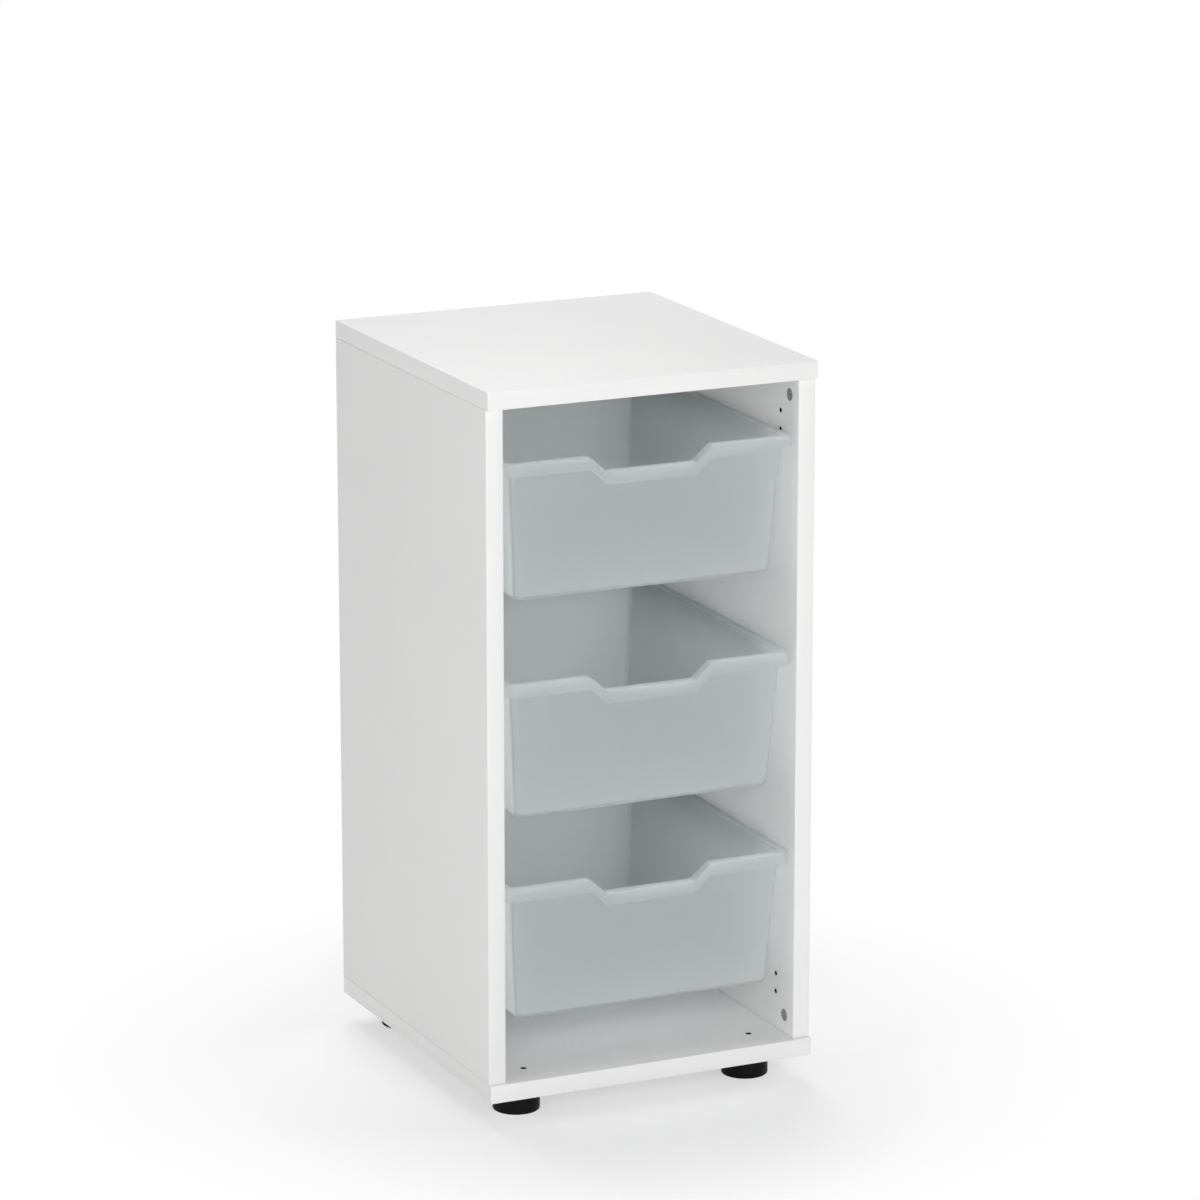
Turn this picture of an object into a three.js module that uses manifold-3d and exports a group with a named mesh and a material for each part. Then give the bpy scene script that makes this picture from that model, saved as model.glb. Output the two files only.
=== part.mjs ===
// A narrow drawer cabinet: a white melamine-faced carcass of five boards, held by cam fittings and
// dowels, with three translucent plastic trays that hang on side runners and pull out by a finger
// notch. It stands on four black levelling feet, each wound down by a screw that is reached through
// the bottom board.
//
// Millimetres. X runs to the right, -Y is the open front and Z is up. The origin lies on the floor,
// under the middle of the carcass. "left" and "right" are as seen by someone facing the front.

import * as THREE from 'three';
import { mergeVertices } from 'three/addons/utils/BufferGeometryUtils.js';
import Module from 'manifold-3d';

// Carcass
const cabinetWidth = 352;
const cabinetDepth = 381;
const bodyHeight = 714;
const panelThickness = 18;
const sideSetback = 5;
const backThickness = 8;
const rebateWidth = 9;
const assemblyGap = 0.3;

// Cam fittings and dowels that hold the side boards to the top and bottom boards
const camRadius = 6;
const camThickness = 12.2;
const camInset = 19;
const camFromFront = 25;
const camFromBack = 37;
const camRecess = 0.2;
const camSlotLength = 7;
const camSlotWidth = 1.5;
const camSlotDepth = 2.2;
const boltShankRadius = 3.5;
const boltHeadRadius = 3.3;
const boltNeckRadius = 2.2;
const boltThreadRadius = 2.9;
const boltThreadLength = 11;
const dowelRadius = 3.8;
const dowelInPanel = 11;
const dowelInSide = 19;
const dowelFromCam = 70;
const boreClearance = 0.3;

// Spare holes near the front of the side boards
const spareHoleRadius = 2.5;
const spareHoleDepth = 11.5;
const spareHoleFromFront = 44;
const spareHoleInset = 38.5;
const spareHolePitch = 19;

// Screws that hold the back board in its rebate
const backScrewRadius = 1.6;
const backScrewHeadRadius = 3.4;
const backScrewLength = 22;
const backScrewHeadHeight = 2.6;
const backScrewFromEnd = 150;

// Trays
const trayHeight = 140;
const traySideGap = 2.25;
const trayBackGap = 1.2;
const trayTopDrop = 57;
const trayBottomRise = 196;
const trayMiddleDrop = 6.5;
const trayWall = 2.4;
const trayFloor = 2.6;
const trayDraft = THREE.MathUtils.degToRad(4);
const trayRimOverhang = 10;
const trayFlangeWidth = 8.5;
const trayRimRadius = 14;
const trayBodyRadius = 6.8;
const trayBottomRadius = 5.8;
const rimThickness = 2.2;
const skirtThickness = 2.2;
const skirtHeight = 12;
const rimEdgeRadius = 0.8;
const notchTopHalfWidth = 65;
const notchBottomHalfWidth = 47.5;
const notchDepth = 16;

// Runners
const runnerThickness = 2.5;
const runnerLegHeight = 18;
const ledgeWidth = 8.7;
const ledgeThickness = 2.5;
const runnerFromFront = 56;
const runnerRunningGap = 0.3;
const pegRadius = 2.2;
const pegLength = 9;
const pegCount = 3;
const pegFromEnd = 18;
const pegDrop = 9;

// Levelling feet
const footHeight = 27;
const footRadius = 23.6;
const footFromSide = 49.5;
const footFromFront = 51;
const footFromBack = 45;
const footWall = 2.4;
const footBase = 3;
const footPlateThickness = 2.9;
const footSlideClearance = 0.35;
const footCupGap = 0.5;
const guideWall = 1.8;
const guideFloorGap = 3.8;
const adjusterTurn = THREE.MathUtils.degToRad(9);
const adjusterGap = 0.45;
const adjusterRadius = 2.95;
const adjusterCollarRadius = 4.9;
const adjusterCollarHeight = 2.6;
const adjusterSocketRadius = 1.7;
const adjusterSocketDepth = 2.6;
const bossWall = 2;
const bossTopGap = 2.7;
const footPinRadius = 4.8;
const footPinHeight = 11;
const footPinAcross = 12;
const footPinAlong = 5;
const accessHoleRadius = 3.1;

// Round shapes: how many flats stand in for a circle
const fineRound = 24;
const smallRound = 12;

// Places worked out from the sizes above
const halfWidth = cabinetWidth / 2;
const frontY = -cabinetDepth / 2;
const backY = cabinetDepth / 2;
const bottomUnderside = footHeight;
const bottomTop = bottomUnderside + panelThickness;
const topUnderside = bottomUnderside + bodyHeight - panelThickness;
const topTop = bottomUnderside + bodyHeight;
const sideInnerX = halfWidth - panelThickness;
const sideMiddleX = halfWidth - panelThickness / 2;
const sideFrontY = frontY + sideSetback;
const rebateY = backY - backThickness - assemblyGap;
const backFrontY = backY - backThickness;
const camFrontY = frontY + camFromFront;
const camBackY = backY - camFromBack;
const trayFrontY = sideFrontY;
const trayBackY = backFrontY - trayBackGap;
const trayRimHalfWidth = sideInnerX - traySideGap;
const trayTopRim = topUnderside - trayTopDrop;
const trayBottomRim = bottomTop + trayBottomRise;
const trayMiddleRim = (trayTopRim + trayBottomRim) / 2 - trayMiddleDrop;
const trayRims = { top: trayTopRim, middle: trayMiddleRim, bottom: trayBottomRim };
const screwBoreRadius = adjusterRadius + boreClearance;
const guideOuterRadius = footRadius - footWall - footSlideClearance;
const adjusterOffset = guideOuterRadius - guideWall - screwBoreRadius - bossWall - adjusterGap;

const SIDES = { left: -1, right: 1 };
const ENDS = { bottom: -1, top: 1 };
const FRONT_BACK = { front: -1, back: 1 };

const paint = (color, roughness, metalness = 0) =>
  new THREE.MeshStandardMaterial({ color, roughness, metalness });
const melamine = paint(0xeeeeec, 0.5);
const frosted = paint(0xc4cdcd, 0.35);
const runnerPlastic = paint(0xd9dbd9, 0.45);
const blackPlastic = paint(0x17181a, 0.55);
const zincAlloy = paint(0x8e9294, 0.4, 0.9);
const steel = paint(0xa9abae, 0.35, 1);
const beech = paint(0xc9a878, 0.7);

const cabinet = new THREE.Group();

function addPart(name, geometry, material) {
  const mesh = new THREE.Mesh(geometry, material);
  mesh.name = name;
  cabinet.add(mesh);
}

// Joining and cutting

const wasm = await Module();
wasm.setup();

function toSolid(geometry) {
  const bare = geometry.clone();
  bare.deleteAttribute('normal');
  bare.deleteAttribute('uv');
  const merged = mergeVertices(bare, 1e-4);
  const mesh = new wasm.Mesh({
    numProp: 3,
    vertProperties: new Float32Array(merged.attributes.position.array),
    triVerts: new Uint32Array(merged.index.array),
  });
  return new wasm.Manifold(mesh);
}

function toGeometry(solid) {
  const mesh = solid.getMesh();
  const geometry = new THREE.BufferGeometry();
  geometry.setAttribute('position', new THREE.BufferAttribute(mesh.vertProperties, mesh.numProp));
  geometry.setIndex(new THREE.BufferAttribute(mesh.triVerts, 1));
  return geometry;
}

function join(first, ...others) {
  return toGeometry(others.reduce((solid, other) => solid.add(toSolid(other)), toSolid(first)));
}

function cut(body, holes) {
  return toGeometry(holes.reduce((solid, hole) => solid.subtract(toSolid(hole)), toSolid(body)));
}

// Plain shapes, placed by their limits

function block(x, y, z) {
  const geometry = new THREE.BoxGeometry(
    Math.abs(x[1] - x[0]), Math.abs(y[1] - y[0]), Math.abs(z[1] - z[0]));
  return geometry.translate((x[0] + x[1]) / 2, (y[0] + y[1]) / 2, (z[0] + z[1]) / 2);
}

function rodAlongX(radius, x, y, z, sides = smallRound) {
  const geometry = new THREE.CylinderGeometry(radius, radius, Math.abs(x[1] - x[0]), sides);
  return geometry.rotateZ(Math.PI / 2).translate((x[0] + x[1]) / 2, y, z);
}

function rodAlongZ(radius, x, y, z, sides = smallRound) {
  const geometry = new THREE.CylinderGeometry(radius, radius, Math.abs(z[1] - z[0]), sides);
  return geometry.rotateX(Math.PI / 2).translate(x, y, (z[0] + z[1]) / 2);
}

// A turned shape about Z from a profile of [radius, height] pairs
function turned(profile, sides = smallRound) {
  const points = profile.map(([radius, height]) => new THREE.Vector2(radius, height));
  return new THREE.LatheGeometry(points, sides).rotateX(Math.PI / 2);
}

// Carcass boards

const camPlaces = [];
const dowelPlaces = [];
for (const [side, sx] of Object.entries(SIDES)) {
  for (const [end, sz] of Object.entries(ENDS)) {
    for (const [place, sy] of Object.entries(FRONT_BACK)) {
      const camY = sy < 0 ? camFrontY : camBackY;
      const faceZ = sz > 0 ? topUnderside : bottomTop;
      const name = `${side}_${end}_${place}`;
      camPlaces.push({ name, sx, sz, y: camY, faceZ });
      dowelPlaces.push({ name, sx, sz, y: camY - sy * dowelFromCam, faceZ });
    }
  }
}

const backScrewPlaces = [];
for (const [side, sx] of Object.entries(SIDES)) {
  const x = sx * (sideInnerX + rebateWidth / 2);
  backScrewPlaces.push({ name: `${side}_lower`, x, z: bottomTop + backScrewFromEnd });
  backScrewPlaces.push({ name: `${side}_upper`, x, z: topUnderside - backScrewFromEnd });
}
backScrewPlaces.push({ name: 'bottom', x: 0, z: bottomTop - rebateWidth / 2 });
backScrewPlaces.push({ name: 'top', x: 0, z: topUnderside + rebateWidth / 2 });

// A countersunk shape along Y: the screw itself, or its hole, which is wider and open to the back
function countersunk({ x, z }, spare, mouth) {
  const head = backScrewHeadRadius + spare;
  const shank = backScrewRadius + spare;
  const headY = backY - assemblyGap;
  const tipY = headY - backScrewLength - spare;
  const profile = [
    [0, tipY],
    [shank, tipY + shank],
    [shank, headY - backScrewHeadHeight],
    [head, headY],
    ...mouth,
  ];
  const points = profile.map(([radius, y]) => new THREE.Vector2(radius, y));
  return new THREE.LatheGeometry(points, smallRound).translate(x, 0, z);
}

function backScrew(place) {
  return countersunk(place, 0, [[0, backY - assemblyGap]]);
}

function backScrewHole(place) {
  const mouthRadius = backScrewHeadRadius + boreClearance;
  return countersunk(place, boreClearance, [[mouthRadius, backY + 1], [0, backY + 1]]);
}

// Bores in a top or bottom board over the fittings of both side boards
function fittingBores(sz) {
  const bores = [];
  for (const cam of camPlaces.filter((place) => place.sz === sz)) {
    const depth = boltThreadLength + boreClearance;
    bores.push(rodAlongZ(boltThreadRadius + boreClearance, cam.sx * sideMiddleX, cam.y,
      [cam.faceZ - sz, cam.faceZ + sz * depth]));
  }
  for (const dowel of dowelPlaces.filter((place) => place.sz === sz)) {
    const depth = dowelInPanel + boreClearance;
    bores.push(rodAlongZ(dowelRadius + boreClearance, dowel.sx * sideMiddleX, dowel.y,
      [dowel.faceZ - sz, dowel.faceZ + sz * depth]));
  }
  return bores;
}

function endBoard(sz) {
  const near = sz > 0 ? topUnderside : bottomTop;
  const far = near + sz * panelThickness;
  const board = block([-halfWidth, halfWidth], [frontY, backY], [near, far]);
  const rebateX = sideInnerX + rebateWidth;
  const rebate = block([-rebateX, rebateX], [rebateY, backY + 1], [near - sz, near + sz * rebateWidth]);
  return { board, holes: [rebate, ...fittingBores(sz), ...backScrewPlaces.map(backScrewHole)] };
}

// Feet are placed from the front, back and side edges of the bottom board
const footPlaces = [];
for (const [side, sx] of Object.entries(SIDES)) {
  for (const [place, sy] of Object.entries(FRONT_BACK)) {
    const y = sy < 0 ? frontY + footFromFront : backY - footFromBack;
    const x = sx * (halfWidth - footFromSide);
    const screw = {
      x: x - sx * adjusterOffset * Math.sin(adjusterTurn),
      y: y + sy * adjusterOffset * Math.cos(adjusterTurn),
    };
    const pins = [-1, 1].map((step) => ({ x: x + step * footPinAcross, y: y - sy * footPinAlong }));
    footPlaces.push({ name: `${place}_${side}`, x, y, screw, pins });
  }
}

function footBores() {
  const bores = [];
  for (const foot of footPlaces) {
    bores.push(rodAlongZ(accessHoleRadius, foot.screw.x, foot.screw.y,
      [bottomUnderside - 1, bottomTop + 1]));
    for (const pin of foot.pins) {
      bores.push(rodAlongZ(footPinRadius + boreClearance, pin.x, pin.y,
        [bottomUnderside - 1, bottomUnderside + footPinHeight + boreClearance]));
    }
  }
  return bores;
}

const topBoard = endBoard(1);
addPart('top_panel', cut(topBoard.board, topBoard.holes), melamine);
const bottomBoard = endBoard(-1);
addPart('bottom_panel', cut(bottomBoard.board, [...bottomBoard.holes, ...footBores()]), melamine);

// Runner places are set by the tray that each pair carries
const runnerFrontY = frontY + runnerFromFront;
const runnerBackY = backFrontY - assemblyGap;
const runnerOuterX = sideInnerX - assemblyGap;
const runnerPlaces = [];
for (const [tray, rimZ] of Object.entries(trayRims)) {
  const ledgeTop = rimZ - skirtHeight - runnerRunningGap;
  for (const [side, sx] of Object.entries(SIDES)) {
    runnerPlaces.push({ name: `runner_${side}_${tray}`, sx, ledgeTop });
  }
}
const pegStep = (runnerBackY - runnerFrontY - 2 * pegFromEnd) / (pegCount - 1);
const pegYs = Array.from({ length: pegCount }, (_, i) => runnerFrontY + pegFromEnd + i * pegStep);

// A side board's outline seen from above, with the rebate for the back board
function sideBoard(sx) {
  const outline = new THREE.Shape([
    new THREE.Vector2(sx * sideInnerX, sideFrontY),
    new THREE.Vector2(sx * halfWidth, sideFrontY),
    new THREE.Vector2(sx * halfWidth, backY),
    new THREE.Vector2(sx * (sideInnerX + rebateWidth), backY),
    new THREE.Vector2(sx * (sideInnerX + rebateWidth), rebateY),
    new THREE.Vector2(sx * sideInnerX, rebateY),
  ]);
  const height = topUnderside - bottomTop - 2 * assemblyGap;
  const board = new THREE.ExtrudeGeometry(outline, { depth: height, bevelEnabled: false });
  board.translate(0, 0, bottomTop + assemblyGap);

  const holes = [];
  const inFace = (radius, depth, y, z, sides) =>
    rodAlongX(radius, [sx * (sideInnerX - 1), sx * (sideInnerX + depth)], y, z, sides);
  for (const cam of camPlaces.filter((place) => place.sx === sx)) {
    const camZ = cam.faceZ - cam.sz * camInset;
    const depth = camRecess + camThickness + boreClearance;
    holes.push(inFace(camRadius + boreClearance, depth, cam.y, camZ, fineRound));
    holes.push(rodAlongZ(boltShankRadius + boreClearance, sx * sideMiddleX, cam.y,
      [camZ, cam.faceZ]));
  }
  for (const dowel of dowelPlaces.filter((place) => place.sx === sx)) {
    const depth = dowelInSide + boreClearance;
    holes.push(rodAlongZ(dowelRadius + boreClearance, sx * sideMiddleX, dowel.y,
      [dowel.faceZ - dowel.sz * depth, dowel.faceZ]));
  }
  for (const step of [0, 1]) {
    const inset = spareHoleInset + step * spareHolePitch;
    for (const z of [topUnderside - inset, bottomTop + inset]) {
      holes.push(inFace(spareHoleRadius, spareHoleDepth, frontY + spareHoleFromFront, z));
    }
  }
  for (const runner of runnerPlaces.filter((place) => place.sx === sx)) {
    for (const y of pegYs) {
      holes.push(inFace(pegRadius + boreClearance, pegLength + boreClearance, y,
        runner.ledgeTop - pegDrop));
    }
  }
  holes.push(...backScrewPlaces.map(backScrewHole));
  return cut(board, holes);
}

for (const [side, sx] of Object.entries(SIDES)) {
  addPart(`${side}_side_panel`, sideBoard(sx), melamine);
}

const backHalfWidth = sideInnerX + rebateWidth - assemblyGap;
const backBoard = block([-backHalfWidth, backHalfWidth], [backFrontY, backY],
  [bottomTop - rebateWidth + assemblyGap, topUnderside + rebateWidth - assemblyGap]);
addPart('back_panel', cut(backBoard, backScrewPlaces.map(backScrewHole)), melamine);
for (const place of backScrewPlaces) {
  addPart(`back_screw_${place.name}`, backScrew(place), steel);
}

// Cam fittings: a slotted zinc disc in the side board's face grips the head of a bolt that is
// screwed into the top or bottom board

function camDisc({ sx, sz, y, faceZ }) {
  const z = faceZ - sz * camInset;
  const outer = sx * (sideInnerX + camRecess);
  const inner = outer + sx * camThickness;
  const disc = rodAlongX(camRadius, [outer, inner], y, z, fineRound);
  const slotFloor = outer + sx * camSlotDepth;
  const long = camSlotLength / 2;
  const thin = camSlotWidth / 2;
  const slots = [
    block([outer - sx, slotFloor], [y - long, y + long], [z - thin, z + thin]),
    block([outer - sx, slotFloor], [y - thin, y + thin], [z - long, z + long]),
  ];
  const grip = rodAlongZ(boltHeadRadius + boreClearance, sx * sideMiddleX, y,
    [z - sz * (boltHeadRadius + boreClearance), z + sz * (camRadius + 1)]);
  return cut(disc, [...slots, grip]);
}

function camBolt({ sx, sz, y, faceZ }) {
  const headEnd = -boltHeadRadius;
  const collarStart = camRadius + boreClearance;
  const collarEnd = camInset - assemblyGap;
  const tip = camInset + boltThreadLength;
  const profile = [
    [0, headEnd],
    [boltHeadRadius, headEnd],
    [boltHeadRadius, 0],
    [boltNeckRadius, 0],
    [boltNeckRadius, collarStart],
    [boltShankRadius, collarStart],
    [boltShankRadius, collarEnd],
    [boltThreadRadius, collarEnd],
    [boltThreadRadius, tip],
    [0, tip],
  ];
  const bolt = turned(profile);
  if (sz < 0) bolt.rotateX(Math.PI);
  return bolt.translate(sx * sideMiddleX, y, faceZ - sz * camInset);
}

function dowel({ sx, sz, y, faceZ }) {
  const half = (dowelInSide + dowelInPanel) / 2;
  const edge = dowelRadius * 0.2;
  const profile = [
    [0, -half],
    [dowelRadius - edge, -half],
    [dowelRadius, edge - half],
    [dowelRadius, half - edge],
    [dowelRadius - edge, half],
    [0, half],
  ];
  const middle = faceZ + (sz * (dowelInPanel - dowelInSide)) / 2;
  return turned(profile).translate(sx * sideMiddleX, y, middle);
}

for (const place of camPlaces) {
  addPart(`cam_${place.name}`, camDisc(place), zincAlloy);
  addPart(`cam_bolt_${place.name}`, camBolt(place), steel);
}
for (const place of dowelPlaces) {
  addPart(`dowel_${place.name}`, dowel(place), beech);
}

// Runners: an L section under each tray flange, pressed into the side board by moulded pegs

function runner({ sx, ledgeTop }) {
  const ledgeEdge = sx * (runnerOuterX - ledgeWidth);
  const section = new THREE.Shape([
    new THREE.Vector2(ledgeEdge, ledgeTop),
    new THREE.Vector2(ledgeEdge, ledgeTop - ledgeThickness),
    new THREE.Vector2(sx * (runnerOuterX - runnerThickness), ledgeTop - ledgeThickness),
    new THREE.Vector2(sx * (runnerOuterX - runnerThickness), ledgeTop - runnerLegHeight),
    new THREE.Vector2(sx * runnerOuterX, ledgeTop - runnerLegHeight),
    new THREE.Vector2(sx * runnerOuterX, ledgeTop),
  ]);
  const length = runnerBackY - runnerFrontY;
  const rail = new THREE.ExtrudeGeometry(section, { depth: length, bevelEnabled: false });
  rail.rotateX(Math.PI / 2).translate(0, runnerBackY, 0);
  const pegRoot = sx * (runnerOuterX - runnerThickness / 2);
  const pegTip = sx * (sideInnerX + pegLength);
  const pegs = pegYs.map((y) => rodAlongX(pegRadius, [pegRoot, pegTip], y, ledgeTop - pegDrop));
  return join(rail, ...pegs);
}

for (const place of runnerPlaces) {
  addPart(place.name, runner(place), runnerPlastic);
}

// Trays: a closed shell drawn as level rings, from under the floor, up the outside, round the rim
// with its hanging skirt, and down the inside. Along the front, the rim's rings dip at the notch.

const cornerSteps = 5;
const notchXs = [-notchTopHalfWidth, -notchBottomHalfWidth, notchBottomHalfWidth, notchTopHalfWidth];

function notchDip(x) {
  const slope = (notchTopHalfWidth - Math.abs(x)) / (notchTopHalfWidth - notchBottomHalfWidth);
  return notchDepth * THREE.MathUtils.clamp(slope, 0, 1);
}

// The points of a rounded rectangle, counter-clockwise from above, starting along the front
function planPoints({ halfX, front, back, radius }) {
  const points = notchXs.map((x) => ({ x, y: front, front: true }));
  const corners = [
    { x: halfX - radius, y: front + radius, start: -90 },
    { x: halfX - radius, y: back - radius, start: 0 },
    { x: radius - halfX, y: back - radius, start: 90 },
    { x: radius - halfX, y: front + radius, start: 180 },
  ];
  for (const corner of corners) {
    for (let step = 0; step <= cornerSteps; step += 1) {
      const angle = THREE.MathUtils.degToRad(corner.start + (90 * step) / cornerSteps);
      points.push({
        x: corner.x + radius * Math.cos(angle),
        y: corner.y + radius * Math.sin(angle),
        front: false,
      });
    }
  }
  return points;
}

// The outer wall's outline at a drop below the rim, moved inwards by inset
function wallPlan(drop, inset) {
  const taper = drop * Math.tan(trayDraft) + inset;
  return {
    halfX: trayRimHalfWidth - trayFlangeWidth - taper,
    front: trayFrontY + trayRimOverhang + taper,
    back: trayBackY - trayRimOverhang - taper,
    radius: Math.max(trayBodyRadius - inset, 1),
  };
}

function rimPlan(inset) {
  return {
    halfX: trayRimHalfWidth - inset,
    front: trayFrontY + inset,
    back: trayBackY - inset,
    radius: trayRimRadius - inset,
  };
}

function wallRing(drop, inset, dips) {
  const ring = planPoints(wallPlan(drop, inset));
  for (const point of ring) {
    const dip = dips && point.front ? notchDip(point.x) : 0;
    point.y += dip * Math.tan(trayDraft);
    point.z = -drop - dip;
  }
  return ring;
}

function rimRing(drop, inset) {
  const ring = planPoints(rimPlan(inset));
  for (const point of ring) {
    point.z = -drop - (point.front ? notchDip(point.x) : 0);
  }
  return ring;
}

// The rounded edge between a wall and the floor, from the wall down
function filletRings(depth, inset, radius, steps) {
  const rings = [];
  for (let step = 0; step <= steps; step += 1) {
    const angle = (Math.PI / 2) * (step / steps);
    rings.push(wallRing(depth - radius + radius * Math.sin(angle),
      inset + radius * (1 - Math.cos(angle)), false));
  }
  return rings;
}

function trayShell() {
  const filletSteps = 3;
  const outside = filletRings(trayHeight, 0, trayBottomRadius, filletSteps).reverse();
  const inside = filletRings(trayHeight - trayFloor, trayWall, trayBottomRadius - trayWall, filletSteps);
  const rings = [
    ...outside,
    wallRing(rimThickness, 0, true),
    rimRing(rimThickness, skirtThickness),
    rimRing(skirtHeight, skirtThickness),
    rimRing(skirtHeight, 0),
    rimRing(rimEdgeRadius, 0),
    rimRing(0, rimEdgeRadius),
    wallRing(0, trayWall, true),
    ...inside,
  ];
  const count = rings[0].length;
  const positions = [];
  for (const ring of rings) {
    for (const point of ring) positions.push(point.x, point.y, point.z);
  }
  const indices = [];
  for (let level = 0; level < rings.length - 1; level += 1) {
    for (let i = 0; i < count; i += 1) {
      const next = (i + 1) % count;
      const low = level * count;
      const high = low + count;
      indices.push(low + i, low + next, high + next);
      indices.push(low + i, high + next, high + i);
    }
  }
  const last = (rings.length - 1) * count;
  for (let i = 1; i < count - 1; i += 1) {
    indices.push(0, i + 1, i);
    indices.push(last, last + i, last + i + 1);
  }
  const shell = new THREE.BufferGeometry();
  shell.setAttribute('position', new THREE.Float32BufferAttribute(positions, 3));
  shell.setIndex(indices);
  return shell;
}

for (const [place, rimZ] of Object.entries(trayRims)) {
  addPart(`tray_${place}`, trayShell().translate(0, 0, rimZ), frosted);
}

// Levelling feet: a housing pinned under the bottom board, a cup that slides on it, and the
// off-centre screw that winds the cup down

const plateTop = bottomUnderside - assemblyGap;
const plateBottom = plateTop - footPlateThickness;
const cupTop = plateBottom - footCupGap;
const collarTop = plateBottom - footCupGap;
const collarBottom = collarTop - adjusterCollarHeight;
const guideBottom = footBase + guideFloorGap;
const bossTop = collarBottom - bossTopGap;

function footHousing(foot) {
  const body = turned([
    [0, plateBottom],
    [guideOuterRadius - guideWall, plateBottom],
    [guideOuterRadius - guideWall, guideBottom],
    [guideOuterRadius, guideBottom],
    [guideOuterRadius, plateBottom],
    [footRadius, plateBottom],
    [footRadius, plateTop],
    [0, plateTop],
  ], fineRound).translate(foot.x, foot.y, 0);
  const pins = foot.pins.map((pin) =>
    rodAlongZ(footPinRadius, pin.x, pin.y, [plateTop - 1, bottomUnderside + footPinHeight]));
  const screwHole = rodAlongZ(screwBoreRadius, foot.screw.x, foot.screw.y,
    [plateBottom - 1, plateTop + 1]);
  return cut(join(body, ...pins), [screwHole]);
}

function footCup(foot) {
  const innerRadius = footRadius - footWall;
  const edge = 1;
  const body = turned([
    [0, 0],
    [footRadius - edge, 0],
    [footRadius, edge],
    [footRadius, cupTop],
    [innerRadius, cupTop],
    [innerRadius, footBase],
    [0, footBase],
  ], fineRound).translate(foot.x, foot.y, 0);
  const boss = rodAlongZ(screwBoreRadius + bossWall, foot.screw.x, foot.screw.y,
    [footBase - 1, bossTop]);
  const bore = rodAlongZ(screwBoreRadius, foot.screw.x, foot.screw.y,
    [footBase, bossTop + 1]);
  return cut(join(body, boss), [bore]);
}

function adjusterScrew(foot) {
  const screwTop = plateTop - assemblyGap;
  const body = turned([
    [0, footBase + 1],
    [adjusterRadius - 1, footBase + 1],
    [adjusterRadius, footBase + 2],
    [adjusterRadius, collarBottom],
    [adjusterCollarRadius, collarBottom],
    [adjusterCollarRadius, collarTop],
    [adjusterRadius, collarTop],
    [adjusterRadius, screwTop],
    [0, screwTop],
  ]);
  const socket = rodAlongZ(adjusterSocketRadius, 0, 0, [screwTop - adjusterSocketDepth, screwTop + 1], 6);
  return cut(body, [socket]).translate(foot.screw.x, foot.screw.y, 0);
}

for (const foot of footPlaces) {
  addPart(`foot_housing_${foot.name}`, footHousing(foot), blackPlastic);
  addPart(`foot_cup_${foot.name}`, footCup(foot), blackPlastic);
  addPart(`foot_screw_${foot.name}`, adjusterScrew(foot), steel);
}

export default cabinet;
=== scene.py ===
# %% [markdown]
# # A narrow drawer cabinet
#
# The cabinet is a box of white melamine-faced board, open at the front. Three frosted plastic trays
# hang in it on side runners, and it stands on four black levelling feet. The measured model, with
# its bodies and joints, is loaded first as a fixed frame. What shows is then modelled over it with
# Blender's own tools, in the same place and at the same size.

# %% Load the frame
import math

import bmesh
import bpy
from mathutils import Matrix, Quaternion, Vector


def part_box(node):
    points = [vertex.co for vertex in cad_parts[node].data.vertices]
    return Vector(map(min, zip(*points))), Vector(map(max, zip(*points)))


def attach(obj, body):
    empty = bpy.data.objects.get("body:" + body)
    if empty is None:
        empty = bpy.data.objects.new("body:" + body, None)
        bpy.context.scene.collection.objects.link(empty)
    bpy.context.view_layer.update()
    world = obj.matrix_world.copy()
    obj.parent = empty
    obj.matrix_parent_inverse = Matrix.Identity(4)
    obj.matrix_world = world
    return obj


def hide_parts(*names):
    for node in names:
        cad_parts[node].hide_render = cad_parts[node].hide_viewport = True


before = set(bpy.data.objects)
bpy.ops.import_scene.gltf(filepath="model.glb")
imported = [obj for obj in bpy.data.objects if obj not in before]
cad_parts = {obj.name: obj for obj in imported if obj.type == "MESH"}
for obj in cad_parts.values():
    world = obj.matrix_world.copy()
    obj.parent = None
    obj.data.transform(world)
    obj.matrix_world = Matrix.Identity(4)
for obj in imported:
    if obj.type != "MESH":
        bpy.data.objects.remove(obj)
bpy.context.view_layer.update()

# %% [markdown]
# ## Camera
#
# A catalogue picture is taken from some way off with a long lens, so that upright edges stay nearly
# parallel. The camera stands to the left of the open front and a little above the top board, and
# looks slightly down.

# %% Camera
CAMERA_PLACE = (-2.1995, -4.8033, 1.8378)
CAMERA_TILT = math.radians(75.53)
CAMERA_TURN = math.radians(-24.90)

camera_data = bpy.data.cameras.new("camera")
camera_data.lens = 162.93
camera_data.sensor_width = 36
camera = bpy.data.objects.new("camera", camera_data)
camera.location = CAMERA_PLACE
camera.rotation_euler = (CAMERA_TILT, 0, CAMERA_TURN)
bpy.context.scene.collection.objects.link(camera)
bpy.context.scene.camera = camera
print("camera height:", camera.location.z)

# %% [markdown]
# ## Working in edit mode
#
# Every new piece starts as a primitive at its own size and place, and is shaped in edit mode, as by
# hand. An operator acts on all that is selected, so nothing is left selected after a primitive is
# added, and verts, edges or faces are then picked by where they are or which way they run.

# %% Tools for adding and picking
MM = 0.001
NEAR = 0.01 * MM


def add(primitive, **settings):
    """Adds a primitive with nothing else selected, and leaves it open in edit mode."""
    bpy.ops.object.select_all(action="DESELECT")
    primitive(**settings)
    bpy.ops.object.transform_apply(location=True, rotation=True, scale=True)
    bpy.ops.object.mode_set(mode="EDIT")
    bpy.ops.mesh.select_all(action="DESELECT")
    return bpy.context.object


def add_block(low, high):
    """A block between two corners."""
    low, high = Vector(low), Vector(high)
    return add(bpy.ops.mesh.primitive_cube_add, size=1, location=(low + high) / 2, scale=high - low)


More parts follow.
